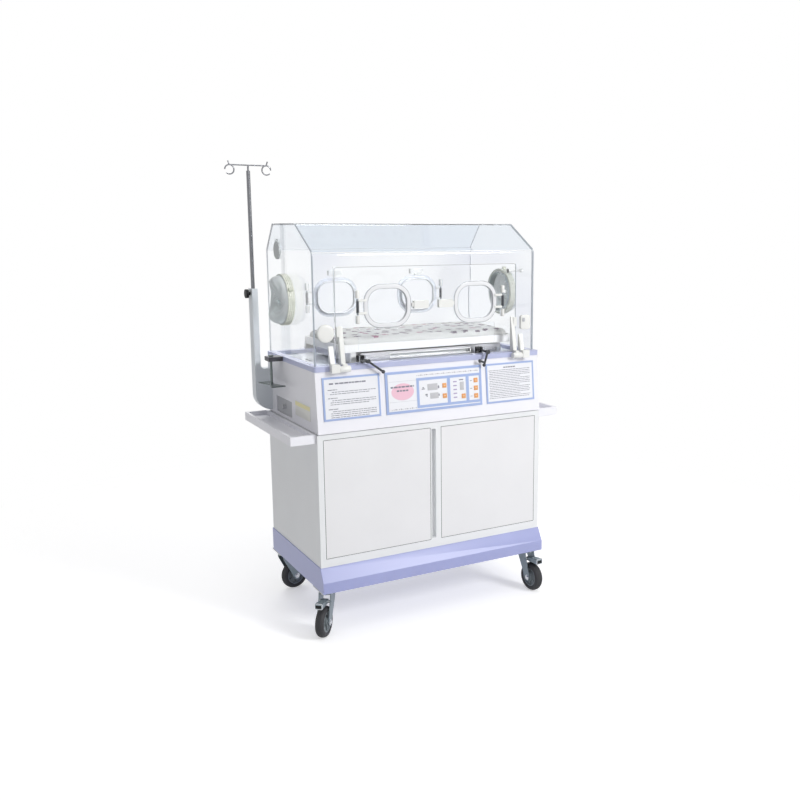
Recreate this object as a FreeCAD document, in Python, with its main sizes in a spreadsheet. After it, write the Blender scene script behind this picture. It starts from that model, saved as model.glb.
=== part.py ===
# Infant incubator: a clear hood with hand ports over a tilting bed, on a cabinet with casters.
# Millimetres, +X right, +Y back, +Z up. The working zero is the middle of the cabinet on the floor;
# every finished piece is then shifted by originX, originY so the whole stands centred on the origin.
import FreeCAD, Part
import os
import re
import Sketcher
from FreeCAD import Vector

os.makedirs("parts", exist_ok=True)
doc = FreeCAD.newDocument("incubator")

# driving sizes
sizes = {
    "originX": 20.6, "originY": 4.3,
    # plinth and cabinet
    "plinthWidth": 828, "plinthFront": 259, "plinthBack": 238, "plinthBottom": 150, "bandHeight": 36,
    "plinthWall": 8, "casterBlock": 112, "plinthRoof": 16,
    "cabinetBottom": 229, "cabinetWidth": 822, "cabinetDepth": 470, "cabinetTop": 657, "cabinetWall": 16,
    "backSheet": 3, "capInset": 8, "capHeight": 3,
    "doorOuter": 391, "doorBottom": 257.5, "doorTop": 639, "doorThick": 18, "doorGap": 1.5, "postHalf": 19.3,
    "stopDepth": 4, "stopLip": 8, "stopGap": 1, "gripWidth": 17, "gripDepth": 14, "gripEnd": 4,
    "doorPin": 2, "doorPinLength": 8, "doorPinInset": 3,
    # housing
    "housingBottom": 660, "housingTop": 852, "housingWidth": 818, "housingFrontLow": 240, "housingFrontHigh": 223,
    "housingBackLow": 244, "housingBackHigh": 229, "housingWall": 4, "flangeWide": 40,
    "hatchFront": -4, "hatchBack": 150, "hatchLow": 671, "hatchHigh": 725, "hatchGap": 1, "hatchThick": 4,
    "hatchInset": 3, "hatchPin": 1.5, "hatchPinLength": 5, "hatchFrame": 10, "hatchKnobRound": 7, "hatchKnobLength": 10,
    "moduleBayHalf": 152, "moduleBayLow": 58, "moduleBayHigh": 157, "moduleBayDepth": 70,
    "inletX": 250, "inletHeight": 700, "inletWide": 50, "inletTall": 30, "inletFlange": 6, "inletDeep": 26,
    "inletFlangeThick": 3, "pinLength": 14, "pinRound": 2.5, "pinPitch": 13,
    # front panels, measured up the leaning front
    "panelLow": 39.5, "panelHigh": 174.5, "textInner": 196, "textOuter": 388, "textThick": 2.5, "textRim": 6,
    "textSink": 1, "controlHalf": 177, "controlThick": 3, "controlRim": 8, "moduleThick": 4,
    "moduleDeep": 60, "keySize": 15, "keyThick": 1.2,
    "keyColumnA": 34, "keyColumnB": 105, "keyColumnC": 153,
    "keyRowA": 117, "keyRowB": 83, "keyRowC": 76, "keyRowD": 125, "keyRowE": 99, "keyRowF": 73,
    # side trays
    "trayOut": 494, "trayFront": 225, "trayBack": 243, "trayTop": 659, "trayDeep": 28, "trayLip": 10, "trayRecess": 14,
    # inside the housing
    "troughLeft": 390, "troughLong": 140, "troughWide": 200, "troughTall": 56, "troughWall": 3,
    "motorX": 120, "motorRound": 38, "motorTall": 58, "shaftRound": 4, "fanRound": 62, "fanTall": 38, "fanGap": 8,
    "fanBlades": 12, "bladeThick": 2, "fanHub": 14, "boreGap": 0.05,
    "heaterX": -90, "heaterRound": 60, "heaterTube": 5, "heaterHeight": 742, "heaterLeg": 4,
    # deck
    "rimWidth": 822, "rimFront": 226, "rimBack": 231, "rimTop": 868, "rimWide": 27, "rimSill": 36, "rimCorner": 8,
    "deckGap": 0.5, "deckThick": 4, "ventLong": 70, "ventWide": 8, "ventPitch": 20, "ventX": 356, "ventY": 20,
    # hood
    "hoodWidth": 804, "hoodFront": 203, "hoodBack": 225, "hoodBottom": 868.2, "hoodBend": 1213, "hoodTop": 1300,
    "hoodSlopeFront": 145, "hoodSlopeBack": 70, "hoodWall": 5, "hoodRadius": 22,
    "hingeY": 240, "hingeZ": 862, "hingeX": 250, "hingeRound": 7, "hingeHalf": 20, "hingePin": 3, "lugWide": 13,
    "leafTop": 912, "leafThick": 3, "leafHalf": 28,
    # access door
    "accessHalf": 330, "accessBottom": 870, "accessTop": 1168, "accessGap": 1.5, "accessCorner": 9,
    "pivotY": -237, "pivotZ": 858, "pivotRound": 10, "pivotPin": 3,
    "legOuter": 356, "legInner": 340, "legTop": 927, "strapOuter": 322, "strapInner": 308, "strapTop": 987,
    "footLow": 869, "footThick": 5, "footReach": 226, "strapThick": 4, "blockOuter": 362, "blockSplit": 334,
    "blockInner": 298, "blockGap": 0.6, "catchLow": 955, "catchHigh": 985, "catchWide": 12, "catchDeep": 9,
    "notchWide": 20, "notchTall": 20,
    "knobX": 364, "knobZ": 967, "knobRound": 28, "knobThick": 8, "knobSpindle": 4, "knobBar": 12, "knobBarHigh": 8,
    "knobGap": 0.3,
    # hand ports
    "portShift": 7, "portSpacing": 161, "portZ": 1044, "portWide": 165, "portTall": 138, "portCorner": 58,
    "portOpenWide": 144, "portOpenTall": 117, "portOpenCorner": 47, "portThick": 6, "portGap": 0.4, "portRim": 8,
    "portSink": 2.5, "portHingeOff": 21.5, "portHingeOut": 8, "portPin": 2, "portTube": 4, "portLug": 5.5,
    "portLugLow": 27, "portLugHigh": 51, "portTubeHalf": 25, "portArmLow": 16, "portArmHigh": 24, "portArmThick": 4,
    "latchLong": 52, "latchTall": 25, "latchThick": 13, "latchNose": 6, "latchNoseTall": 12, "latchGap": 1.5,
    # sleeve ports in the hood ends
    "sleeveY": 25, "sleeveZ": 1058, "sleeveInner": 70, "sleeveTube": 74, "sleeveLong": 22, "ringOuter": 82,
    "ringGap": 0.06, "ringStart": 1.5, "ringLong": 23, "ringGrooves": 36, "grooveRound": 1.6, "ringTab": 9, "ringTabLeft": -65, "ringTabRight": 190,
    "cuffRound": 79, "cuffHeight": 9, "cuffEdge": 2, "cuffHole": 9,
    "plugY": 104, "plugZ": 1214, "plugFlange": 29, "plugNeck": 21.9, "plugHole": 22, "plugThick": 5, "prongWide": 5,
    "prongTall": 8, "prongApart": 15,
    # bed
    "bedX": 20, "frameHalf": 282, "frameFront": 150, "frameBack": 140, "frameLow": 862, "frameHigh": 893,
    "frameBar": 12, "frameWall": 8, "railLeft": -230, "railRight": 175, "railDeep": 18, "slotLeft": -130, "slotRight": 170,
    "slotTall": 12, "restGap": 0.3, "restSize": 18, "bedPin": 4, "bedPinLength": 8, "pivotInset": 8, "pivotLift": 8,
    "bedLugGap": 1, "bedLugThick": 8, "bedLugHalf": 9, "bedLugHigh": 879,
    "trayHalf": 320, "bedTrayFront": 165, "bedTrayBack": 155, "bedTrayLow": 897, "bedTrayHigh": 922, "bedTrayWall": 4,
    "bedTrayCorner": 22, "mattressGap": 2, "mattressHigh": 942, "mattressCorner": 20, "mattressEdge": 14,
    "guardLeft": -240, "guardRight": 266, "guardHigh": 970, "guardThick": 4,
    # bed levers
    "leverLeftX": -240, "leverRightX": 196, "leverZ": 878, "leverIn": 172, "leverOut": 236, "leverHub": 7,
    "leverHubLong": 10, "leverArm": 3.5, "leverLeftLong": 64, "leverRightLong": 46, "leverBall": 6,
    "leverStub": 20, "leverLeftTurn": 36, "leverRightTurn": 108, "blockHalf": 11, "blockFront": 190, "blockBack": 175,
    "blockHigh": 889,
    # drip pole
    "armFront": 195, "armBack": 235, "armOuter": 466, "armInner": 446, "armLow": 668, "armCrook": 812, "armTop": 1085,
    "armBend": 56, "armFillet": 14, "poleRound": 6.35, "poleGap": 0.05, "poleBottom": 845, "poleTop": 1472,
    "boreBottom": 790, "neckRound": 3, "barHeight": 1490, "barHalf": 62, "barRound": 2.2, "hookRound": 15, "hookTurn": 315,
    "tailLong": 14, "clampZ": 1068, "clampStem": 3, "clampRound": 15, "clampLong": 9, "clampStemLong": 8,
    # hood lift rod on the left side
    "rodX": 444, "rodY": 88, "rodRound": 4, "rodLow": 776, "rodHigh": 872, "capRound": 8, "capTall": 5,
    "bracketOut": 458, "bracketHalf": 24, "bracketLow": 853, "bracketHigh": 867, "wingHalf": 60, "wingWide": 24,
    "wingWaist": 8, "wingThick": 4, "wingTurn": 93,
    # casters
    "casterX": 382, "casterY": 205, "plateLong": 84, "plateWide": 64, "plateThick": 4, "kingRound": 7, "kingLong": 14,
    "crownRound": 24, "crownTop": 144, "crownLow": 134, "forkOuter": 21, "forkThick": 3, "trail": 35, "wheelRound": 50,
    "wheelHalf": 14, "axleRound": 5, "tyreEdge": 8, "hubRound": 16, "hubHalf": 16.5,
    "turnFrontLeft": -132, "turnFrontRight": -85, "turnBackLeft": 11, "turnBackRight": 120,
    "pedalX": 22, "pedalZ": 114, "pedalHalf": 13, "pedalLong": 56, "pedalTall": 13, "pedalWall": 2.5, "pedalPin": 2.5,
}
sheet = doc.addObject("Spreadsheet::Sheet", "Sizes")
for row, (word, number) in enumerate(sizes.items(), 1):
    sheet.set(f"A{row}", word)
    sheet.set(f"B{row}", str(number))
    sheet.setAlias(f"B{row}", word)
doc.recompute()


def formula(text):
    return re.sub(r"[A-Za-z]\w*", lambda w: "Sizes." + w.group(0) if w.group(0) in sizes else w.group(0), str(text))


def worth(text):
    return float(sheet.evalExpression(formula(text)))


def seat(obj, at, axis=None, angle=None):
    # puts an object at a place, turned by an angle about an axis when one is given
    if axis is None:
        for letter, text in zip("xyz", at):
            obj.setExpression("Placement.Base." + letter, formula(text))
        return obj
    turn = ";".join(str(part) for part in axis)
    spot = ";".join(formula(text) for text in at)
    obj.setExpression("Placement", f"placement(vector({spot});rotation(vector({turn});{formula(angle)}))")
    return obj


def box(name, low, high):
    # a block between two opposite corners
    obj = doc.addObject("Part::Box", name)
    for prop, first, last in zip(("Length", "Width", "Height"), low, high):
        obj.setExpression(prop, formula(f"({last})-({first})"))
    return seat(obj, low)


turns = {"x": ((0, 1, 0), 90), "y": ((1, 0, 0), -90), "z": (None, None)}


def rod(name, radius, start, length, along="z"):
    obj = doc.addObject("Part::Cylinder", name)
    obj.setExpression("Radius", formula(radius))
    obj.setExpression("Height", formula(length))
    return seat(obj, start, *turns[along])


def ball(name, radius, at):
    obj = doc.addObject("Part::Sphere", name)
    obj.setExpression("Radius", formula(radius))
    return seat(obj, at)


def fuse(name, *parts):
    obj = doc.addObject("Part::MultiFuse", name)
    obj.Shapes = list(parts)
    obj.Refine = True
    return obj


def cut(name, base, *tools):
    obj = doc.addObject("Part::Cut", name)
    obj.Base = base
    obj.Tool = tools[0] if len(tools) == 1 else fuse(name + "Tools", *tools)
    return obj


def group(name, *parts):
    # equal pieces that are kept as separate solids of one node
    obj = doc.addObject("Part::Compound", name)
    obj.Links = list(parts)
    return obj


def mirrored(name, source, normal=(1, 0, 0)):
    obj = doc.addObject("Part::Mirroring", name)
    obj.Source = source
    obj.Normal = Vector(*normal)
    return obj


def newBody(name):
    return doc.addObject("PartDesign::Body", name)


def sketchOn(body, role, name):
    sketch = body.newObject("Sketcher::SketchObject", name)
    plane = [o for o in body.Origin.OriginFeatures if o.Role == role][0]
    sketch.AttachmentSupport = [(plane, "")]
    sketch.MapMode = "FlatFace"
    return sketch


def drive(sketch, kind, *where, text):
    index = sketch.addConstraint(Sketcher.Constraint(kind, *where, worth(text)))
    sketch.setExpression(f"Constraints[{index}]", formula(text))


def outline(body, role, points, name):
    # a closed outline of straight lines, each corner driven from the sketch's origin
    sketch = sketchOn(body, role, name)
    spots = [Vector(worth(a), worth(b), 0) for a, b in points]
    count = len(points)
    for i in range(count):
        sketch.addGeometry(Part.LineSegment(spots[i], spots[(i + 1) % count]), False)
    for i in range(count):
        sketch.addConstraint(Sketcher.Constraint("Coincident", i, 2, (i + 1) % count, 1))
    for i, (a, b) in enumerate(points):
        drive(sketch, "DistanceX", -1, 1, i, 1, text=a)
        drive(sketch, "DistanceY", -1, 1, i, 1, text=b)
    return sketch


def roundedOutline(body, role, wide, tall, corner, name):
    # a rounded rectangle centred on the sketch's origin
    sketch = sketchOn(body, role, name)
    w, h, r = worth(wide) / 2, worth(tall) / 2, worth(corner)
    right = 90
    centres = [(w - r, h - r), (r - w, h - r), (r - w, r - h), (w - r, r - h)]
    for i, (a, b) in enumerate(centres):
        circle = Part.Circle(Vector(a, b, 0), Vector(0, 0, 1), r)
        start = (i * right) * 3.141592653589793 / 180
        sketch.addGeometry(Part.ArcOfCircle(circle, start, start + 3.141592653589793 / 2), False)
    ends = [((w - r, h), (r - w, h)), ((-w, h - r), (-w, r - h)), ((r - w, -h), (w - r, -h)), ((w, r - h), (w, h - r))]
    for a, b in ends:
        sketch.addGeometry(Part.LineSegment(Vector(*a, 0), Vector(*b, 0)), False)
    for i in range(4):
        sketch.addConstraint(Sketcher.Constraint("Tangent", i, 2, i + 4, 1))
        sketch.addConstraint(Sketcher.Constraint("Tangent", i + 4, 2, (i + 1) % 4, 1))
    for line, kind in zip(range(4, 8), ("Horizontal", "Vertical") * 2):
        sketch.addConstraint(Sketcher.Constraint(kind, line))
    for i in (1, 2, 3):
        sketch.addConstraint(Sketcher.Constraint("Equal", 0, i))
    sketch.addConstraint(Sketcher.Constraint("Symmetric", 0, 3, 2, 3, -1, 1))
    drive(sketch, "Radius", 0, text=corner)
    drive(sketch, "DistanceX", 1, 3, 0, 3, text=f"({wide})-2*({corner})")
    drive(sketch, "DistanceY", 3, 3, 0, 3, text=f"({tall})-2*({corner})")
    return sketch


def padded(body, sketch, length, middle=False, back=False):
    pad = body.newObject("PartDesign::Pad", body.Name + "Pad")
    pad.Profile = sketch
    pad.setExpression("Length", formula(length))
    pad.Midplane = middle
    pad.Reversed = back
    return pad


def pocketed(body, sketch, length, middle=False, back=False, name="Pocket"):
    pocket = body.newObject("PartDesign::Pocket", body.Name + name)
    pocket.Profile = sketch
    pocket.setExpression("Length", formula(length))
    pocket.Midplane = middle
    pocket.Reversed = back
    return pocket


def edgesWhere(feature, test):
    doc.recompute()
    return [f"Edge{i + 1}" for i, edge in enumerate(feature.Shape.Edges) if test(edge)]


def rounded(body, feature, test, radius, name="Round", kind="Fillet"):
    fillet = body.newObject("PartDesign::" + kind, body.Name + name)
    fillet.Base = (feature, edgesWhere(feature, test))
    fillet.setExpression("Radius" if kind == "Fillet" else "Size", formula(radius))
    return fillet


def prism(name, role, points, length, middle=False, back=False):
    # a straight-sided piece pushed out of one outline
    body = newBody(name)
    padded(body, outline(body, role, points, name + "Outline"), length, middle, back)
    return body


def slab(name, role, wide, tall, corner, thick, back=False):
    # a plate with rounded corners
    body = newBody(name)
    padded(body, roundedOutline(body, role, wide, tall, corner, name + "Outline"), thick, False, back)
    return body


def ringOutline(body, role, outer, inner, name):
    # two circles about the sketch's origin
    sketch = sketchOn(body, role, name)
    for i, radius in enumerate((outer, inner)):
        sketch.addGeometry(Part.Circle(Vector(0, 0, 0), Vector(0, 0, 1), worth(radius)), False)
        sketch.addConstraint(Sketcher.Constraint("Coincident", i, 3, -1, 1))
        drive(sketch, "Radius", i, text=radius)
    return sketch


def discOutline(body, role, across, up, radius, name):
    sketch = sketchOn(body, role, name)
    sketch.addGeometry(Part.Circle(Vector(worth(across), worth(up), 0), Vector(0, 0, 1), worth(radius)), False)
    drive(sketch, "DistanceX", -1, 1, 0, 3, text=across)
    drive(sketch, "DistanceY", -1, 1, 0, 3, text=up)
    drive(sketch, "Radius", 0, text=radius)
    return sketch


def axisOf(body, role):
    return [o for o in body.Origin.OriginFeatures if o.Role == role][0]


def patterned(body, feature, role, count):
    # repeats a feature evenly about the body's own axis
    pattern = body.newObject("PartDesign::PolarPattern", body.Name + "Pattern")
    pattern.Originals = [feature]
    pattern.Axis = (axisOf(body, "Z_Axis"), [""])
    pattern.Angle = 360
    pattern.setExpression("Occurrences", formula(count))
    body.Tip = pattern
    return pattern


finished = {}


def done(obj, label, at=("0", "0", "0"), axis=None, angle=None):
    # a finished piece: its label is its file's name, and it takes the shift of the origin
    obj.Label = label
    seat(obj, (f"originX+({at[0]})", f"originY+({at[1]})", at[2]), axis, angle)
    finished[label] = obj
    return obj


# plinth: straight band at the foot, front face sloping back up to the cabinet, blocks left for the casters
plinthBody = prism("plinthSolid", "YZ_Plane", [
    ("-plinthFront", "plinthBottom"), ("plinthBack", "plinthBottom"), ("plinthBack", "cabinetBottom"),
    ("-cabinetDepth/2", "cabinetBottom"), ("-plinthFront", "plinthBottom+bandHeight")], "plinthWidth", True)
innerX = "plinthWidth/2-casterBlock"
hollowA = box("plinthHollowA", (f"-({innerX})", "-plinthFront+plinthWall", "plinthBottom-1"),
              (innerX, "plinthBack-plinthWall", "cabinetBottom-plinthRoof-bandHeight/2"))
hollowB = box("plinthHollowB", ("-plinthWidth/2+plinthWall", "-plinthFront+casterBlock", "plinthBottom-1"),
              ("plinthWidth/2-plinthWall", "plinthBack-casterBlock", "cabinetBottom-plinthRoof-bandHeight/2"))
done(cut("plinthCut", plinthBody, hollowA, hollowB), "plinth")

# cabinet: carcass with two door openings, a stop behind each door, a middle post with a finger groove
front = "-cabinetDepth/2"
frameBehind = f"{front}+doorThick+stopGap+stopDepth"
shell = box("cabinetOuter", ("-cabinetWidth/2", front, "cabinetBottom"), ("cabinetWidth/2", "cabinetDepth/2", "cabinetTop"))
neck = box("cabinetNeck", ("-cabinetWidth/2+capInset", f"{front}+capInset", "cabinetTop-1"),
           ("cabinetWidth/2-capInset", "cabinetDepth/2-capInset", "cabinetTop+capHeight"))
room = box("cabinetRoom", ("-cabinetWidth/2+cabinetWall", frameBehind, "cabinetBottom+cabinetWall"),
           ("cabinetWidth/2-cabinetWall", "cabinetDepth/2-backSheet", "cabinetTop-cabinetWall"))
holes = [room]
for side, low, high in (("Left", "-doorOuter-doorGap", "-postHalf"), ("Right", "postHalf", "doorOuter+doorGap")):
    holes.append(box("doorSeat" + side, (low, f"{front}-1", "doorBottom-doorGap"),
                     (high, f"{front}+doorThick+stopGap", "doorTop+doorGap")))
    holes.append(box("doorView" + side, (f"{low}+stopLip", f"{front}-1", "doorBottom-doorGap+stopLip"),
                     (f"{high}-stopLip", f"{frameBehind}+1", "doorTop+doorGap-stopLip")))
holes.append(box("fingerGroove", ("-gripWidth", f"{front}-1", "doorBottom+gripEnd"), ("0", f"{front}+gripDepth", "doorTop-gripEnd")))
for side, sign in (("Left", "-"), ("Right", "")):
    pinX = f"{sign}(doorOuter-doorPinInset)"
    for end, foot in (("Top", "doorTop+doorGap-1"), ("Foot", "doorBottom-doorGap-doorPinLength")):
        holes.append(rod(f"pinSeat{side}{end}", "doorPin+boreGap", (pinX, f"{front}+doorPinInset", foot), "doorPinLength+1"))
done(cut("cabinetCut", fuse("cabinetSolid", shell, neck), *holes), "cabinet_shell")

for side, sign in (("left", "-"), ("right", "")):
    near, far = ("-doorOuter", "-postHalf-doorGap") if side == "left" else ("postHalf+doorGap", "doorOuter")
    panel = box("doorPanel" + side, (near, front, "doorBottom"), (far, f"{front}+doorThick", "doorTop"))
    pinX = f"{sign}(doorOuter-doorPinInset)"
    pin = rod("doorPins" + side, "doorPin", (pinX, f"{front}+doorPinInset", "doorBottom-doorPinLength"),
              "doorTop-doorBottom+2*doorPinLength")
    done(fuse("doorSolid" + side, panel, pin), "cabinet_door_" + side)

# housing: a box that narrows upward front and back, hollow, with an inward flange under the deck
housing = newBody("housingSolid")
padded(housing, outline(housing, "YZ_Plane", [
    ("-housingFrontLow", "housingBottom"), ("housingBackLow", "housingBottom"),
    ("housingBackHigh", "housingTop"), ("-housingFrontHigh", "housingTop")], "housingOutline"), "housingWidth", True)
pocketed(housing, outline(housing, "YZ_Plane", [
    ("-housingFrontLow+2*housingWall", "housingBottom+housingWall"), ("housingBackLow-2*housingWall", "housingBottom+housingWall"),
    ("housingBackHigh-housingWall", "housingTop-housingWall"), ("-housingFrontHigh+housingWall", "housingTop-housingWall")],
    "housingVoid"), "housingWidth-2*housingWall", True)
sideX = "-housingWidth/2"
frontLean = "atan2(housingFrontLow-housingFrontHigh;housingTop-housingBottom)"
backLean = "atan2(housingBackLow-housingBackHigh;housingTop-housingBottom)"
hatchRim = box("hatchRim", (f"{sideX}+housingWall/2", "hatchFront-hatchFrame", "hatchLow-hatchFrame+1"),
               (f"{sideX}+hatchFrame", "hatchBack+hatchFrame", "hatchHigh+hatchFrame"))
hatchHole = box("hatchHole", (f"{sideX}-1", "hatchFront", "hatchLow"), (f"{sideX}+hatchFrame+1", "hatchBack", "hatchHigh"))
hatchAxis = (f"{sideX}+hatchInset+hatchThick/2", f"{sideX}+hatchInset+hatchThick/2")
hatchPins = rod("hatchPinSeats", "hatchPin+boreGap",
                (hatchAxis[0], "hatchFront-hatchPinLength", "hatchLow+hatchGap+hatchThick/2"),
                "hatchBack-hatchFront+2*hatchPinLength", "y")
deckHole = box("deckHole", ("-housingWidth/2+flangeWide", "-housingFrontHigh+flangeWide", "housingTop-2*housingWall"),
               ("housingWidth/2-flangeWide", "housingBackHigh-flangeWide", "housingTop+1"))
bay = seat(box("moduleBay", ("-moduleBayHalf", "-1", "moduleBayLow"), ("moduleBayHalf", "housingWall+8", "moduleBayHigh")),
           ("-moduleBayHalf", "-housingFrontLow-1+moduleBayLow*tan(%s)" % frontLean, "housingBottom+moduleBayLow"),
           (1, 0, 0), f"-{frontLean}")
inletHole = box("inletHole", ("inletX-inletWide/2", "housingBackHigh-flangeWide/2", "inletHeight-inletTall/2"),
                ("inletX+inletWide/2", "housingBackLow+5", "inletHeight+inletTall/2"))
done(cut("housingCut", fuse("housingRimmed", housing, hatchRim), hatchHole, hatchPins, deckHole, bay, inletHole), "housing_shell")

# side hatch of the water trough: a plate on two pins along its lower edge, with a small pull
hatchPlate = box("hatchPlate", (f"{sideX}+hatchInset", "hatchFront+hatchGap", "hatchLow+hatchGap"),
                 (f"{sideX}+hatchInset+hatchThick", "hatchBack-hatchGap", "hatchHigh-hatchGap"))
hatchPin = rod("hatchPin", "hatchPin", (hatchAxis[0], "hatchFront-hatchPinLength+1", "hatchLow+hatchGap+hatchThick/2"),
               "hatchBack-hatchFront+2*hatchPinLength-2", "y")
hatchKnob = rod("hatchKnob", "hatchKnobRound", (f"{sideX}+hatchInset-hatchKnobLength", "(hatchFront+hatchBack)/2",
                                                "(hatchLow+hatchHigh)/2"), "hatchKnobLength+1", "x")
done(fuse("hatchSolid", hatchPlate, hatchPin, hatchKnob), "service_hatch")

# mains inlet in the back wall: flange outside, socket body inside, three pins; no cord
inletBody = box("inletBody", ("-inletWide/2+1", "-inletDeep", "-inletTall/2+2"), ("inletWide/2-1", "0.5", "inletTall/2-2"))
inletPlate = box("inletPlate", ("-inletWide/2-inletFlange", "0", "-inletTall/2-inletFlange"),
                 ("inletWide/2+inletFlange", "inletFlangeThick", "inletTall/2+inletFlange"))
inletWell = box("inletWell", ("-inletWide/2+6", "-inletDeep+4", "-inletTall/2+6"),
                ("inletWide/2-6", "inletFlangeThick+1", "inletTall/2-6"))
inletPins = [rod(f"inletPin{i}", "pinRound", (f"{i - 1}*pinPitch", "-inletDeep+3", "0"), "pinLength", "y") for i in range(3)]
inlet = fuse("inletSolid", cut("inletCut", fuse("inletBlock", inletBody, inletPlate), inletWell), *inletPins)
done(inlet, "power_inlet",
     ("inletX", f"housingBackLow-(inletHeight-housingBottom)*tan({backLean})", "inletHeight"), (1, 0, 0), backLean)


def onFront(obj, label):
    # front panels are drawn flat, x across and z up the slope, then laid on the leaning front
    return done(obj, label, ("0", "-housingFrontLow", "housingBottom"), (1, 0, 0), f"-{frontLean}")


textBase = box("textBase", ("textInner", "-textThick", "panelLow"), ("textOuter", "0", "panelHigh"))
textWell = box("textWell", ("textInner+textRim", "-textThick-1", "panelLow+textRim"),
               ("textOuter-textRim", "-textThick+textSink", "panelHigh-textRim"))
textPlate = cut("textPlate", textBase, textWell)
onFront(group("textPair", textPlate, mirrored("textOther", textPlate)), "text_panels")

controlBase = box("controlBase", ("-controlHalf", "-controlThick", "panelLow"), ("controlHalf", "0", "panelHigh"))
controlHole = box("controlHole", ("-controlHalf+controlRim", "-controlThick-1", "panelLow+controlRim"),
                  ("controlHalf-controlRim", "1", "panelHigh-controlRim"))
onFront(cut("controlCut", controlBase, controlHole), "control_frame")
moduleFace = box("moduleFace", ("-controlHalf+controlRim", "-moduleThick", "panelLow+controlRim"),
                 ("controlHalf-controlRim", "0", "panelHigh-controlRim"))
moduleCase = box("moduleCase", ("-moduleBayHalf+2", "-1", "moduleBayLow+2"), ("moduleBayHalf-2", "moduleDeep", "moduleBayHigh-4"))
onFront(fuse("moduleSolid", moduleFace, moduleCase), "control_module")
keyPlaces = [("keyColumnA", "keyRowA"), ("keyColumnA", "keyRowB"), ("keyColumnB", "keyRowC"), ("keyColumnC", "keyRowD"),
             ("keyColumnC", "keyRowE"), ("keyColumnC", "keyRowF")]
keys = [box(f"keyPad{i}", (f"{column}-keySize/2", "-moduleThick-keyThick", f"{line}-keySize/2"),
            (f"{column}+keySize/2", "-moduleThick", f"{line}+keySize/2")) for i, (column, line) in enumerate(keyPlaces)]
onFront(group("keySet", *keys), "key_pads")

# side trays: shallow shelves with a raised lip
trayBlock = box("trayBlock", ("-trayOut", "-trayFront", "trayTop-trayDeep"), ("-cabinetWidth/2", "trayBack", "trayTop"))
trayWell = box("trayWell", ("-trayOut+trayLip", "-trayFront+trayLip", "trayTop-trayRecess"),
               ("-cabinetWidth/2-trayLip", "trayBack-trayLip", "trayTop+1"))
trayPiece = cut("trayPiece", trayBlock, trayWell)
done(group("trayPair", trayPiece, mirrored("trayOther", trayPiece)), "side_trays")

# inside the housing: water trough, heater ring on legs, fan motor and fan
floorIn = "housingBottom+housingWall"
troughOuter = box("troughOuter", ("-troughLeft", "-troughWide/2+40", floorIn), ("-troughLeft+troughLong", "troughWide/2+40", f"{floorIn}+troughTall"))
troughInner = box("troughInner", ("-troughLeft+troughWall", "-troughWide/2+40+troughWall", f"{floorIn}+troughWall"),
                  ("-troughLeft+troughLong-troughWall", "troughWide/2+40-troughWall", f"{floorIn}+troughTall+1"))
done(cut("troughCut", troughOuter, troughInner), "water_trough")
done(fuse("motorSolid", rod("motorCan", "motorRound", ("motorX", "0", floorIn), "motorTall"),
          rod("motorShaft", "shaftRound", ("motorX", "0", floorIn), "motorTall+fanGap+fanTall/2")), "fan_motor")
fanLow = f"{floorIn}+motorTall+fanGap"
fan = newBody("fanSolid")
padded(fan, ringOutline(fan, "XY_Plane", "fanRound", "shaftRound+boreGap", "fanDisc"), "bladeThick")
pad = fan.newObject("PartDesign::Pad", "fanHubPad")
pad.Profile = ringOutline(fan, "XY_Plane", "fanHub", "shaftRound+boreGap", "fanHubOutline")
pad.setExpression("Length", formula("fanTall"))
spoke = fan.newObject("PartDesign::Pad", "fanSpoke")
spoke.Profile = outline(fan, "XY_Plane", [("fanHub-1", "-bladeThick/2"), ("fanRound-1", "-bladeThick/2"),
                                          ("fanRound-1", "bladeThick/2"), ("fanHub-1", "bladeThick/2")], "fanSpokeOutline")
spoke.setExpression("Length", formula("fanTall"))
patterned(fan, spoke, "XY_Plane", "fanBlades")
done(fan, "fan_wheel", ("motorX", "0", fanLow))
heaterRing = doc.addObject("Part::Torus", "heaterRing")
heaterRing.setExpression("Radius1", formula("heaterRound"))
heaterRing.setExpression("Radius2", formula("heaterTube"))
seat(heaterRing, ("heaterX", "0", "heaterHeight"))
legs = [rod(f"heaterLeg{i}", "heaterLeg", (f"heaterX+({sign}heaterRound)", "0", floorIn), f"heaterHeight-({floorIn})")
        for i, sign in enumerate(("", "-"))]
done(fuse("heaterSolid", heaterRing, *legs), "heater_ring")

# deck: lavender rim, white deck with vents, pivot blocks for the bed and its two levers
rimOuter = slab("rimOuter", "XY_Plane", "rimWidth", "rimFront+rimBack", "rimCorner", "rimTop-housingTop")
rimSolid = seat(rimOuter, ("0", "(rimBack-rimFront)/2", "housingTop"))
rimHole = box("rimHole", ("-rimWidth/2+rimWide", "-rimFront+rimSill", "housingTop-1"),
              ("rimWidth/2-rimWide", "rimBack-rimWide", "rimTop+1"))
lugs, bores = [], []
for side, sign in (("Left", -1), ("Right", 1)):
    for place, first, last in (("In", "-hingeHalf-deckGap-lugWide", "-hingeHalf-deckGap"), ("Out", "hingeHalf+deckGap", "hingeHalf+deckGap+lugWide")):
        lugs.append(box(f"rimLug{side}{place}", (f"{sign}*hingeX+{first}", "rimBack-1", "hingeZ-hingeRound"),
                        (f"{sign}*hingeX+{last}", "hingeY+hingeRound", "rimTop")))
    bores.append(rod(f"rimBore{side}", "hingePin+boreGap", (f"{sign}*hingeX-hingeHalf-lugWide-3", "hingeY", "hingeZ"),
                     "2*(hingeHalf+lugWide+3)", "x"))
done(cut("rimCut", fuse("rimFused", rimSolid, *lugs), rimHole, *bores), "deck_rim")

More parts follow.
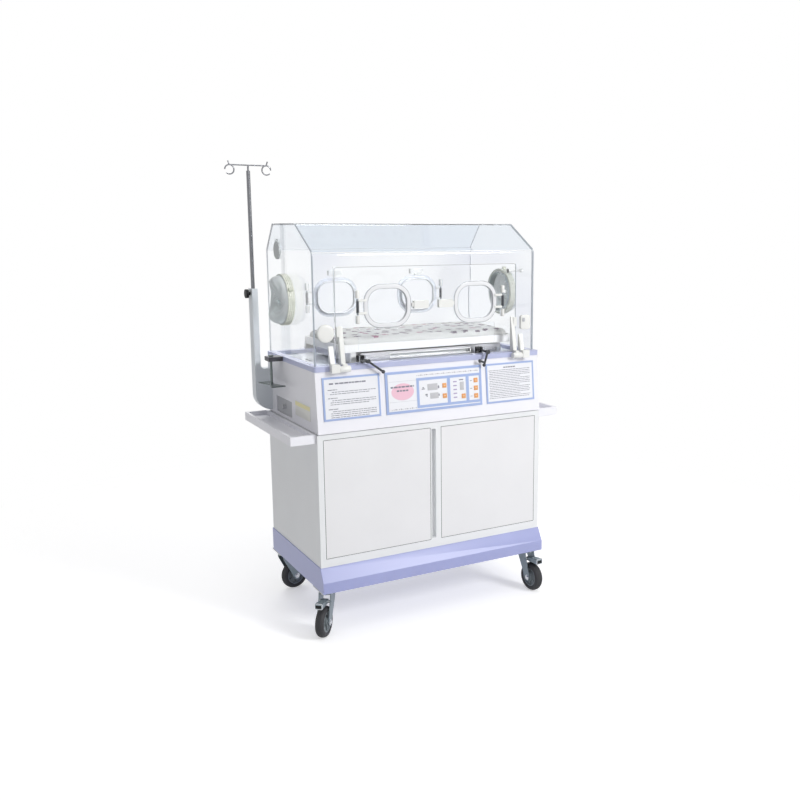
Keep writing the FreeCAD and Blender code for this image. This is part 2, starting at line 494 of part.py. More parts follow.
deckPlate = box("deckPlate", ("-rimWidth/2+rimWide+deckGap", "-rimFront+rimSill+deckGap", "housingTop"),
                ("rimWidth/2-rimWide-deckGap", "rimBack-rimWide-deckGap", "housingTop+deckThick"))
vents = [box(f"vent{i}{side}", (f"{sign}*ventX-ventWide/2+{i - 1}*ventPitch*{-sign}", "ventY-ventLong/2", "housingTop-1"),
             (f"{sign}*ventX+ventWide/2+{i - 1}*ventPitch*{-sign}", "ventY+ventLong/2", "housingTop+deckThick+1"))
         for i in range(3) for side, sign in (("L", -1), ("R", 1))]
deckTop = "housingTop+deckThick"
pivotX = "bedX+frameHalf-pivotInset"
pivotHeight = "frameLow+pivotLift"
deckLugs, deckBores = [], []
for place, low, high in (("Front", "-frameFront-bedLugGap-bedLugThick", "-frameFront-bedLugGap"),
                         ("Back", "frameBack+bedLugGap", "frameBack+bedLugGap+bedLugThick")):
    deckLugs.append(box("bedLug" + place, (f"{pivotX}-bedLugHalf", low, deckTop + "-1"), (f"{pivotX}+bedLugHalf", high, "bedLugHigh")))
deckBores.append(rod("bedBore", "bedPin+boreGap", (pivotX, "-frameFront-20", pivotHeight), "frameFront+frameBack+40", "y"))
for side, spot in (("Left", "leverLeftX"), ("Right", "leverRightX")):
    deckLugs.append(box("leverBlock" + side, (f"{spot}-blockHalf", "-blockFront+deckGap", deckTop + "-1"), (f"{spot}+blockHalf", "-blockBack", "blockHigh")))
    deckBores.append(rod("leverBore" + side, "leverHub/2+boreGap", (spot, "-blockFront-1", "leverZ"), "blockFront-blockBack+2", "y"))
done(cut("deckCut", fuse("deckFused", deckPlate, *deckLugs), *vents, *deckBores), "deck_panel")

# hood: one sheet bent over the front slope, the flat top and the back slope, glued between two end plates
hoodPoints = [("-hoodFront", "hoodBottom"), ("hoodBack", "hoodBottom"), ("hoodBack", "hoodBend"),
              ("hoodBack-hoodSlopeBack", "hoodTop"), ("-hoodFront+hoodSlopeFront", "hoodTop"), ("-hoodFront", "hoodBend")]


def bentCorner(edge):
    return len(edge.Vertexes) == 2 and abs(edge.CenterOfMass.x) < 1e-6 and edge.CenterOfMass.z > worth("hoodBend") - 1


def lengthwise(edge):
    ends = [v.Point for v in edge.Vertexes]
    return len(ends) == 2 and abs(ends[0].y - ends[1].y) < 1e-6 and abs(ends[0].z - ends[1].z) < 1e-6 and ends[0].z > worth("hoodBend") - 1


hood = newBody("hoodSheet")
hoodPad = padded(hood, outline(hood, "YZ_Plane", hoodPoints, "hoodOutline"), "hoodWidth-2*hoodWall", True)
hoodBent = rounded(hood, hoodPad, lengthwise, "hoodRadius")
doc.recompute()
openFaces = [f"Face{i + 1}" for i, face in enumerate(hoodBent.Shape.Faces)
             if abs(face.CenterOfMass.z - worth("hoodBottom")) < 1e-6 or abs(abs(face.CenterOfMass.x) - worth("hoodWidth/2-hoodWall")) < 1e-6]
hoodShell = hood.newObject("PartDesign::Thickness", "hoodThickness")
hoodShell.Base = (hoodBent, openFaces)
hoodShell.setExpression("Value", formula("hoodWall"))
hoodShell.Reversed = True


def portHole(name, across, at):
    hole = slab(name, "XZ_Plane", "portOpenWide", "portOpenTall", "portOpenCorner", "2*hoodWall+4")
    return seat(hole, (across, f"{at}+hoodWall+2", "portZ"))


def lugPair(name, across, toward, wall, out):
    # two fixed lugs beside a port; out is -1 in front, 1 behind
    pieces = []
    for end, low, high in (("Low", "-portLugHigh", "-portLugLow"), ("High", "portLugLow", "portLugHigh")):
        pieces.append(rod(name + end, "portLug", (across, f"{wall}+({out})*portHingeOut", f"portZ+{low}"), "portLugHigh-portLugLow"))
        near, far = (f"{wall}-portHingeOut", f"{wall}+1") if out < 0 else (f"{wall}-1", f"{wall}+portHingeOut")
        pieces.append(box(name + end + "Foot", (f"{across}-portLug", near, f"portZ+{low}"), (f"{across}+portLug", far, f"portZ+{high}")))
    pin = rod(name + "Bore", "portPin+boreGap", (across, f"{wall}+({out})*portHingeOut", "portZ-portLugHigh-1"), "2*portLugHigh+2")
    return pieces, pin


portLeft = "portShift-portSpacing"
portRight = "portShift+portSpacing"
hingeLeft = f"{portLeft}-portWide/2-portHingeOff"
hingeRight = f"{portRight}+portWide/2+portHingeOff"
backLugs, backTools = [], []
for side, across, pivot in (("Left", portLeft, hingeLeft), ("Right", portRight, hingeRight)):
    pieces, bore = lugPair("backLug" + side, pivot, side, "hoodBack", 1)
    backLugs += pieces
    backTools += [bore, portHole("backHole" + side, across, "hoodBack-hoodWall")]
doorway = box("doorway", ("-accessHalf-accessGap", "-hoodFront-hoodWall", "hoodBottom-1"),
              ("accessHalf+accessGap", "-hoodFront+2*hoodWall", "accessTop+accessGap"))
knobBores = [rod("knobBore" + side, "knobSpindle+boreGap", (f"{sign}knobX", "-hoodFront-1", "knobZ"), "hoodWall+2", "y")
             for side, sign in (("Left", "-"), ("Right", ""))]
done(cut("hoodCut", fuse("hoodFused", hood, *backLugs), doorway, *backTools, *knobBores), "hood_shell")

for side, sign in (("left", -1), ("right", 1)):
    plate = newBody("endPlate" + side)
    start = "-hoodWidth/2" if sign < 0 else "hoodWidth/2-hoodWall"
    platePad = padded(plate, outline(plate, "YZ_Plane", hoodPoints, "endOutline" + side), "hoodWall")
    rounded(plate, platePad, lengthwise, "hoodRadius")
    seat(plate, (start, "0", "0"))
    tube = rod("sleeveTube" + side, "sleeveTube", ("-hoodWidth/2-sleeveLong" if sign < 0 else "hoodWidth/2-1", "sleeveY", "sleeveZ"),
               "sleeveLong+1", "x")
    bore = rod("sleeveBore" + side, "sleeveInner", ("-hoodWidth/2-sleeveLong-1" if sign < 0 else "hoodWidth/2-hoodWall-1", "sleeveY", "sleeveZ"),
               "sleeveLong+hoodWall+2", "x")
    tools = [bore]
    if sign < 0:
        tools.append(rod("plugHole", "plugHole", ("-hoodWidth/2-1", "plugY", "plugZ"), "hoodWall+2", "x"))
    done(cut("endCut" + side, fuse("endFused" + side, plate, tube), *tools), "hood_end_" + side)

# sleeve rings turn on the tubes of the end plates; their rims carry thumb grooves and one tab
for side, sign in (("left", -1), ("right", 1)):
    ring = newBody("sleeveRing" + side)
    padded(ring, ringOutline(ring, "XY_Plane", "ringOuter", "sleeveTube+ringGap", "ringOutline" + side), "ringLong")
    groove = ring.newObject("PartDesign::Pocket", "ringGroove" + side)
    groove.Profile = discOutline(ring, "XY_Plane", "ringOuter+grooveRound/3", "0", "grooveRound", "grooveOutline" + side)
    groove.Type = "ThroughAll"
    groove.Midplane = True
    patterned(ring, groove, "XY_Plane", "ringGrooves")
    tabTurn = "ringTabLeft" if sign < 0 else "ringTabRight"
    tab = box("ringTab" + side, ("0", "-ringTab/2", "ringLong/3"), ("ringTab+3", "ringTab/2", "ringLong-3"))
    seat(tab, (f"(ringOuter-3)*cos({tabTurn})+ringTab/2*sin({tabTurn})", f"(ringOuter-3)*sin({tabTurn})-ringTab/2*cos({tabTurn})", "ringLong/3"),
         (0, 0, 1), tabTurn)
    start = "-hoodWidth/2-ringStart" if sign < 0 else "hoodWidth/2+ringStart"
    done(fuse("ringSolid" + side, ring, tab), "sleeve_ring_" + side, (start, "sleeveY", "sleeveZ"), (0, 1, 0), -90 if sign < 0 else 90)
    cuff = newBody("cuffSolid" + side)
    dome = cuff.newObject("PartDesign::Revolution", "cuffDome" + side)
    dome.Profile = outline(cuff, "XZ_Plane", [("cuffHole", "0"), ("cuffRound", "0"), ("cuffRound", "cuffEdge"),
                                              ("cuffRound*0.6", "cuffHeight"), ("cuffHole", "cuffHeight*0.7")], "cuffOutline" + side)
    dome.ReferenceAxis = (axisOf(cuff, "Z_Axis"), [""])
    dome.Angle = 360
    start = "-hoodWidth/2-ringStart-ringLong" if sign < 0 else "hoodWidth/2+ringStart+ringLong"
    done(cuff, "sleeve_cuff_" + side, (start, "sleeveY", "sleeveZ"), (0, 1, 0), -90 if sign < 0 else 90)

plug = fuse("plugSolid", rod("plugFlange", "plugFlange", ("-hoodWidth/2-plugThick", "plugY", "plugZ"), "plugThick", "x"),
            rod("plugNeck", "plugNeck", ("-hoodWidth/2-1", "plugY", "plugZ"), "hoodWall+1", "x"),
            *[box(f"prong{i}", ("-hoodWidth/2-plugThick", f"plugY+({sign})*prongApart/2-prongWide/2", "plugZ+plugFlange-4"),
                  ("-hoodWidth/2-1", f"plugY+({sign})*prongApart/2+prongWide/2", "plugZ+plugFlange+prongTall"))
              for i, sign in enumerate((-1, 1))])
done(plug, "tube_plug")

# hood hinges: a leaf on the back wall and a knuckle with its pin between the lugs of the rim
leaves = []
for side, sign in (("Left", -1), ("Right", 1)):
    leaf = prism("hoodLeaf" + side, "YZ_Plane", [("hoodBack", "hoodBottom+4"), ("hoodBack+leafThick", "hoodBottom+4"),
                                                ("hingeY+2", "hingeZ+hingeRound-2"), ("hingeY+2", "hingeZ+hingeRound+3"),
                                                ("hoodBack+leafThick", "leafTop"), ("hoodBack", "leafTop")], "2*hingeHalf", True)
    seat(leaf, (f"{sign}*hingeX", "0", "0"))
    knuckle = rod("hoodKnuckle" + side, "hingeRound", (f"{sign}*hingeX-hingeHalf", "hingeY", "hingeZ"), "2*hingeHalf", "x")
    pin = rod("hoodPin" + side, "hingePin", (f"{sign}*hingeX-hingeHalf-lugWide", "hingeY", "hingeZ"), "2*(hingeHalf+lugWide)", "x")
    leaves.append(fuse("hoodHinge" + side, leaf, knuckle, pin))
done(group("hoodHingePair", *leaves), "hood_hinges")

# access door: clear panel with two hand ports and the lugs of their hinges, notched for the bed levers
panel = slab("accessPanel", "XZ_Plane", "2*accessHalf", "accessTop-accessBottom", "accessCorner", "hoodWall")
seat(panel, ("0", "-hoodFront+hoodWall", "(accessTop+accessBottom)/2"))
frontLugs, frontTools = [], []
for side, across, pivot in (("Left", portLeft, hingeLeft), ("Right", portRight, hingeRight)):
    pieces, bore = lugPair("frontLug" + side, pivot, side, "-hoodFront", -1)
    frontLugs += pieces
    frontTools += [bore, portHole("frontHole" + side, across, "-hoodFront")]
notches = [box("notch" + side, (f"{spot}-notchWide/2", "-hoodFront-1", "accessBottom-1"), (f"{spot}+notchWide/2", "-hoodFront+hoodWall+1", "accessBottom+notchTall"))
           for side, spot in (("Left", "leverLeftX"), ("Right", "leverRightX"))]
done(cut("accessCut", fuse("accessFused", panel, *frontLugs), *frontTools, *notches), "access_door")

# door hinges: fixed legs and blocks on the hood's margins, straps with catch lugs and pins on the door
pinBack = "-hoodFront"
legSets, strapSets = [], []
for side, sign in (("Left", -1), ("Right", 1)):
    def span(a, b):
        return (f"-({a})", f"-({b})") if sign < 0 else (b, a)
    low, high = span("legOuter", "legInner")
    leg = prism("hingeLeg" + side, "YZ_Plane", [(pinBack, "footLow"), (pinBack, "legTop"), (f"{pinBack}-strapThick", "legTop"),
                                               (f"-footReach+5", "footLow+footThick"), ("pivotY", "footLow+footThick"), ("pivotY", "footLow")],
                "legOuter-legInner", True)
    seat(leg, (f"{sign}*(legOuter+legInner)/2", "0", "0"))
    low, high = span("blockOuter", "blockSplit")
    block = box("hingeBlock" + side, (low, "pivotY-pivotRound", "pivotZ-pivotRound"), (high, "pivotY+pivotRound", "footLow+footThick"))
    bore = rod("hingeBore" + side, "pivotPin+boreGap", (f"({low})-1", "pivotY", "pivotZ"), "blockOuter-blockSplit+2", "x")
    legSets.append(cut("hingeFixed" + side, fuse("hingeFixedSolid" + side, leg, block), bore))
    strap = prism("hingeStrap" + side, "YZ_Plane", [(pinBack, "footLow+2"), (pinBack, "strapTop"), (f"{pinBack}-strapThick", "strapTop"),
                                                   ("-footReach", "footLow+footThick"), ("pivotY", "footLow+footThick"), ("pivotY", "footLow"),
                                                   (f"{pinBack}-1", "footLow")],
                  "strapOuter-strapInner", True)
    seat(strap, (f"{sign}*(strapOuter+strapInner)/2", "0", "0"))
    low, high = span("blockSplit-blockGap", "blockInner")
    knuckle = rod("doorKnuckle" + side, "pivotRound", (low, "pivotY", "pivotZ"), "blockSplit-blockGap-blockInner", "x")
    web = box("doorWeb" + side, (f"{sign}*(strapOuter+strapInner)/2-(strapOuter-strapInner)/2", "pivotY-pivotRound/2", "pivotZ"),
              (f"{sign}*(strapOuter+strapInner)/2+(strapOuter-strapInner)/2", "pivotY+pivotRound/2", "footLow+footThick"))
    low, high = span("blockOuter-3", "blockInner+4")
    pin = rod("doorPin" + side, "pivotPin", (low, "pivotY", "pivotZ"), "blockOuter-3-blockInner-4", "x")
    low, high = span("accessHalf-1", "accessHalf-1-catchWide")
    catch = box("doorCatch" + side, (low, "-hoodFront-catchDeep", "catchLow"), (high, "-hoodFront", "catchHigh"))
    strapSets.append(fuse("hingeMoving" + side, strap, knuckle, web, pin, catch))
done(group("legPair", *legSets), "access_hinges")
done(group("strapPair", *strapSets), "access_straps")

# door knobs: a disc with a finger bar on a spindle through the hood's margin
for side, sign in (("left", "-"), ("right", "")):
    disc = rod("knobDisc" + side, "knobRound", (f"{sign}knobX", "-hoodFront-knobGap-knobThick", "knobZ"), "knobThick", "y")
    bar = box("knobBar" + side, (f"{sign}knobX-knobRound*0.8", "-hoodFront-knobGap-knobThick-knobBarHigh", "knobZ-knobBar/2"),
              (f"{sign}knobX+knobRound*0.8", "-hoodFront-knobGap-knobThick+1", "knobZ+knobBar/2"))
    spindle = rod("knobSpindle" + side, "knobSpindle", (f"{sign}knobX", "-hoodFront-knobGap-1", "knobZ"), "knobGap+1+hoodWall", "y")
    done(fuse("knobSolid" + side, disc, bar, spindle), "door_knob_" + side)

# hand port doors: a clear plate with a raised rim, two arms and a tube on its pin; the spring sits round the tube
for wall, out in (("front", -1), ("back", 1)):
    for side, across, pivot, sign in (("left", portLeft, hingeLeft, -1), ("right", portRight, hingeRight, 1)):
        name = wall + side.capitalize()
        face = "-hoodFront" if out < 0 else "hoodBack"
        plate = slab("portPlate" + name, "XZ_Plane", "portWide", "portTall", "portCorner", "portThick")
        seat(plate, (across, f"{face}-portGap" if out < 0 else f"{face}+portGap+portThick", "portZ"))
        dish = slab("portDish" + name, "XZ_Plane", "portWide-2*portRim", "portTall-2*portRim", "portCorner-portRim", "portSink+1")
        seat(dish, (across, f"{face}-portGap-portThick+portSink" if out < 0 else f"{face}+portGap+portThick+1", "portZ"))
        arms = []
        for i, height in enumerate(("-portArmHigh", "portArmLow")):
            low, high = (pivot, f"{across}-portWide/2+portRim/2") if sign < 0 else (f"{across}+portWide/2-portRim/2", pivot)
            depth = (f"{face}-portHingeOut-portArmThick/2", f"{face}-portHingeOut+portArmThick/2") if out < 0 else \
                    (f"{face}+portHingeOut-portArmThick/2", f"{face}+portHingeOut+portArmThick/2")
            arms.append(box(f"portArm{name}{i}", (low, depth[0], f"portZ+({height})"), (high, depth[1], f"portZ+({height})+portArmHigh-portArmLow")))
        tube = rod("portTube" + name, "portTube", (pivot, f"{face}+({out})*portHingeOut", "portZ-portTubeHalf"), "2*portTubeHalf")
        pin = rod("portPin" + name, "portPin", (pivot, f"{face}+({out})*portHingeOut", "portZ-portLugHigh"), "2*portLugHigh")
        done(fuse("portSolid" + name, cut("portRimmed" + name, plate, dish), *arms, tube, pin), f"{wall}_port_{side}")

# port catches: blocks with a nose beside each front port, and above each back port
catches = []
edgeOff = "portWide/2+latchGap"
for side, across, sign in (("Left", portLeft, 1), ("Right", portRight, -1)):
    start = f"{across}+{edgeOff}" if sign > 0 else f"{across}-({edgeOff})-latchNose-latchLong"
    nose = (f"{across}+{edgeOff}", f"{across}+{edgeOff}+latchNose+1") if sign > 0 else (f"{across}-({edgeOff})-latchNose-1", f"{across}-({edgeOff})")
    low = f"{across}+{edgeOff}+latchNose" if sign > 0 else f"{across}-({edgeOff})-latchNose-latchLong"
    body = box("latchBody" + side, (low, "-hoodFront-latchThick", "portZ-latchTall/2"), (f"{low}+latchLong", "-hoodFront", "portZ+latchTall/2"))
    tip = box("latchTip" + side, (nose[0], "-hoodFront-latchThick*0.8", "portZ-latchNoseTall/2"), (nose[1], "-hoodFront-portGap", "portZ+latchNoseTall/2"))
    catches.append(fuse("latch" + side, body, tip))
done(group("latchPair", *catches), "front_catches")
catches = []
for side, across in (("Left", portLeft), ("Right", portRight)):
    body = box("backLatchBody" + side, (f"{across}-latchLong/2", "hoodBack", "portZ+portTall/2+latchGap+latchNose"),
               (f"{across}+latchLong/2", "hoodBack+latchThick", "portZ+portTall/2+latchGap+latchNose+latchTall*0.7"))
    tip = box("backLatchTip" + side, (f"{across}-latchNoseTall/2", "hoodBack+portGap", "portZ+portTall/2+latchGap"),
              (f"{across}+latchNoseTall/2", "hoodBack+latchThick*0.8", "portZ+portTall/2+latchGap+latchNose+1"))
    catches.append(fuse("backLatch" + side, body, tip))
done(group("backLatchPair", *catches), "back_catches")

# bed: a steel frame hinged at its right end, a tray hinged on the frame's left end, mattress and clear guard
bar = "frameBar"
frameLeft = "bedX-frameHalf"
frameRight = "bedX+frameHalf"
frameOuter = box("frameOuter", (frameLeft, "-frameFront", "frameLow"), (frameRight, "frameBack", "frameHigh"))
frameInner = box("frameInner", (f"{frameLeft}+frameBar", "-frameFront+frameBar", "frameLow-1"), (f"{frameRight}-frameBar", "frameBack-frameBar", "frameHigh+1"))
rail = box("frontRail", ("railLeft", "-frameFront-railDeep", "frameLow+2"), ("railRight", "-frameFront+1", "frameHigh"))
slot = box("railSlot", ("slotLeft", "-frameFront-railDeep-1", "(frameLow+frameHigh)/2+1-slotTall/2"),
           ("slotRight", "-frameFront-3", "(frameLow+frameHigh)/2+1+slotTall/2"))
rests = [box(f"bedRest{i}", (f"{x}-restSize/2", f"{y}-frameBar", "housingTop+deckThick+restGap"), (f"{x}+restSize/2", f"{y}", "frameLow+1"))
         for i, (x, y) in enumerate(((f"{frameLeft}+40", "-frameFront+frameBar"), (f"{frameLeft}+40", "frameBack"),
                                     (f"{frameRight}-60", "-frameFront+frameBar"), (f"{frameRight}-60", "frameBack")))]
stubs = [rod("frameStub" + place, "bedPin", (pivotX, start, pivotHeight), "bedPinLength+bedLugGap+1", "y")
         for place, start in (("Front", "-frameFront-bedPinLength-bedLugGap"), ("Back", "frameBack-1"))]
trayPivotX = f"{frameLeft}+pivotInset"
trayPivotZ = f"{pivotHeight}+2"
frameBore = rod("frameBore", "bedPin+boreGap", (trayPivotX, "-frameFront-1", trayPivotZ), "frameFront+frameBack+2", "y")
done(cut("frameCut", fuse("frameFused", cut("frameOpen", frameOuter, frameInner), rail, *rests, *stubs), slot, frameBore), "bed_frame")

trayOuter = slab("bedTrayOuter", "XY_Plane", "2*trayHalf", "bedTrayFront+bedTrayBack", "bedTrayCorner", "bedTrayHigh-bedTrayLow")
seat(trayOuter, ("bedX", "(bedTrayBack-bedTrayFront)/2", "bedTrayLow"))
trayInner = slab("bedTrayInner", "XY_Plane", "2*trayHalf-2*bedTrayWall", "bedTrayFront+bedTrayBack-2*bedTrayWall",
                 "bedTrayCorner-bedTrayWall", "bedTrayHigh-bedTrayLow")
seat(trayInner, ("bedX", "(bedTrayBack-bedTrayFront)/2", "bedTrayLow+bedTrayWall"))
trayLugs = []
for place, low, high in (("Front", "-frameFront-bedLugGap-bedLugThick", "-frameFront-bedLugGap"),
                         ("Back", "frameBack+bedLugGap", "frameBack+bedLugGap+bedLugThick")):
    trayLugs.append(box("trayLug" + place, (f"{trayPivotX}-bedLugHalf", low, f"{trayPivotZ}-bedLugHalf+2"), (f"{trayPivotX}+bedLugHalf", high, "bedTrayLow+1")))
    start = low if place == "Front" else "frameBack-frameBar/2"
    trayLugs.append(rod("trayPin" + place, "bedPin", (trayPivotX, start, trayPivotZ), "bedLugThick+bedLugGap+frameBar/2", "y"))
done(fuse("bedTraySolid", cut("bedTrayCut", trayOuter, trayInner), *trayLugs), "mattress_tray")

mattress = newBody("mattressSolid")
mattressPad = padded(mattress, roundedOutline(mattress, "XY_Plane", "2*(trayHalf-bedTrayWall-mattressGap)",
                                              "bedTrayFront+bedTrayBack-2*(bedTrayWall+mattressGap)", "mattressCorner", "mattressOutline"),
                     "mattressHigh-bedTrayLow-bedTrayWall")
rounded(mattress, mattressPad, lambda e: e.BoundBox.ZMin > worth("mattressHigh-bedTrayLow-bedTrayWall") - 1e-6, "mattressEdge")
done(mattress, "mattress", ("bedX", "(bedTrayBack-bedTrayFront)/2", "bedTrayLow+bedTrayWall"))
guard = box("guardPlate", ("0", "0", "0"), ("guardRight-guardLeft", "guardThick", "guardHigh-bedTrayLow-2"))
done(guard, "bed_guard", ("guardLeft", "-bedTrayFront-guardThick", "bedTrayLow+2"))

# bed levers: a shaft over the rim, a hub, an arm with a grip and a short stub with a ball
for side, spot, long, turn in (("left", "leverLeftX", "leverLeftLong", "leverLeftTurn"), ("right", "leverRightX", "leverRightLong", "leverRightTurn")):
    shaft = rod("leverShaft" + side, "leverHub/2", ("0", "-leverOut", "0"), "leverOut-leverIn", "y")
    hub = rod("leverHub" + side, "leverHub", ("0", "-leverOut-leverHubLong", "0"), "leverHubLong", "y")
    middle = "-leverOut-leverHubLong/2"
    arm = rod("leverArm" + side, "leverArm", ("0", middle, "0"), long, "x")
    grip = ball("leverGrip" + side, "leverBall", (long, middle, "0"))
    if side == "left":
        swing = f"180+{turn}"
        base = ("0", middle, "0")
    else:
        swing = "-90"
        base = (f"{long}*0.8", middle, "0")
    stub = seat(rod("leverStub" + side, "leverArm", ("0", "0", "0"), "leverStub"), base, (0, 1, 0), f"90-({swing})")
    tip = (f"{base[0]}+leverStub*cos({swing})", middle, f"leverStub*sin({swing})")
    knob = seat(ball("leverKnob" + side, "leverBall", ("0", "0", "0")), tip, (0, 1, 0), f"90-({swing})")
    done(fuse("leverSolid" + side, shaft, hub, arm, grip, stub, knob), "bed_lever_" + side, (spot, "0", "leverZ"), (0, 1, 0), turn)

# drip pole: arm on the left side, pole sliding in it, cross bar with two pigtail rings, clamp knob
arm = newBody("armSolid")
armPad = padded(arm, outline(arm, "XZ_Plane", [("-housingWidth/2", "armLow"), ("-armOuter", "armLow"), ("-armOuter", "armTop"),
                                               ("-armInner", "armTop"), ("-armInner", "armCrook"), ("-housingWidth/2", "armCrook")], "armOutline"),
                "armBack-armFront")


def upright(edge, across, height):
    ends = [v.Point for v in edge.Vertexes]
    return len(ends) == 2 and abs(ends[0].x - worth(across)) < 1e-6 and abs(ends[1].x - worth(across)) < 1e-6 and \
        abs(ends[0].z - worth(height)) < 1e-6 and abs(ends[1].z - worth(height)) < 1e-6


armBent = rounded(arm, armPad, lambda e: upright(e, "-armOuter", "armLow"), "armBend", "Bend")
rounded(arm, armBent, lambda e: upright(e, "-armInner", "armCrook"), "armFillet", "Crook")
seat(arm, ("0", "armBack", "0"))
poleX = "-(armOuter+armInner)/2"
poleY = "(armFront+armBack)/2"
poleBore = rod("poleBore", "poleRound+poleGap", (poleX, poleY, "boreBottom"), "armTop-boreBottom+1")
clampBore = rod("clampBore", "clampStem+boreGap", ("-armOuter-1", poleY, "clampZ"), "(armOuter-armInner)/2+1", "x")
done(cut("armCut", arm, poleBore, clampBore), "pole_arm")

hooks = []
for side, sign in (("Left", -1), ("Right", 1)):
    ring = doc.addObject("Part::Torus", "hookRing" + side)
    ring.setExpression("Radius1", formula("hookRound"))
    ring.setExpression("Radius2", formula("barRound"))
    ring.setExpression("Angle3", formula("hookTurn"))
    start = f"{poleX}+({sign})*barHalf"
    if sign < 0:
        seat(ring, (start, poleY, "barHeight-hookRound"), (0, 0.7071067811865476, 0.7071067811865476), 180)
    else:
        seat(ring, (start, poleY, "barHeight-hookRound"), (1, 0, 0), 90)
        seat(ring, (start, poleY, "barHeight-hookRound"), (1, 0, 0), 90)
    hooks.append(ring)
crossBar = rod("crossBar", "barRound", (f"{poleX}-barHalf", poleY, "barHeight"), "2*barHalf", "x")
pole = rod("poleTube", "poleRound", (poleX, poleY, "poleBottom"), "poleTop-poleBottom")
poleNeck = rod("poleNeck", "neckRound", (poleX, poleY, "poleTop-1"), "barHeight-poleTop+1")
tails = [seat(rod("hookTail" + side, "barRound", ("0", "0", "0"), "tailLong"), (f"{poleX}+({sign})*barHalf", poleY, "barHeight"),
              (0, 1, 0), f"{sign}*18") for side, sign in (("Left", -1), ("Right", 1))]
done(fuse("poleSolid", pole, poleNeck, crossBar, *hooks, *tails), "drip_pole")
clamp = fuse("clampSolid", rod("clampDisc", "clampRound", ("-armOuter-clampStemLong-clampLong", poleY, "clampZ"), "clampLong", "x"),
             rod("clampNeck", "clampStem*1.8", ("-armOuter-clampStemLong-1", poleY, "clampZ"), "clampStemLong", "x"),
             rod("clampScrew", "clampStem", ("-armOuter-clampStemLong-1", poleY, "clampZ"), "clampStemLong+1+(armOuter-armInner)/2-poleRound-2*poleGap", "x"))
done(clamp, "pole_clamp")

# hood rod on the left: bracket on the rim, rod through it with a cap, bow-tie handle at the lower end
bracket = box("bracketBlock", ("-bracketOut", "rodY-bracketHalf", "bracketLow"), ("-rimWidth/2", "rodY+bracketHalf", "bracketHigh"))
bracketBore = rod("bracketBore", "rodRound+boreGap", ("-rodX", "rodY", "bracketLow-1"), "bracketHigh-bracketLow+2")
done(cut("bracketCut", bracket, bracketBore), "rod_bracket")
wing = newBody("wingPlate")
padded(wing, outline(wing, "XY_Plane", [("-wingHalf", "-wingWide"), ("0", "-wingWaist"), ("wingHalf", "-wingWide"),
                                        ("wingHalf", "wingWide"), ("0", "wingWaist"), ("-wingHalf", "wingWide")], "wingOutline"), "wingThick")
seat(wing, ("0", "0", "rodLow-wingThick"), (0, 0, 1), "wingTurn")
rodPiece = fuse("rodSolid", rod("rodShaft", "rodRound", ("0", "0", "rodLow-1"), "rodHigh-rodLow+1"),
                rod("rodCap", "capRound", ("0", "0", "bracketHigh+restGap"), "capTall"), wing)
done(rodPiece, "rod_handle", ("-rodX", "rodY", "0"))

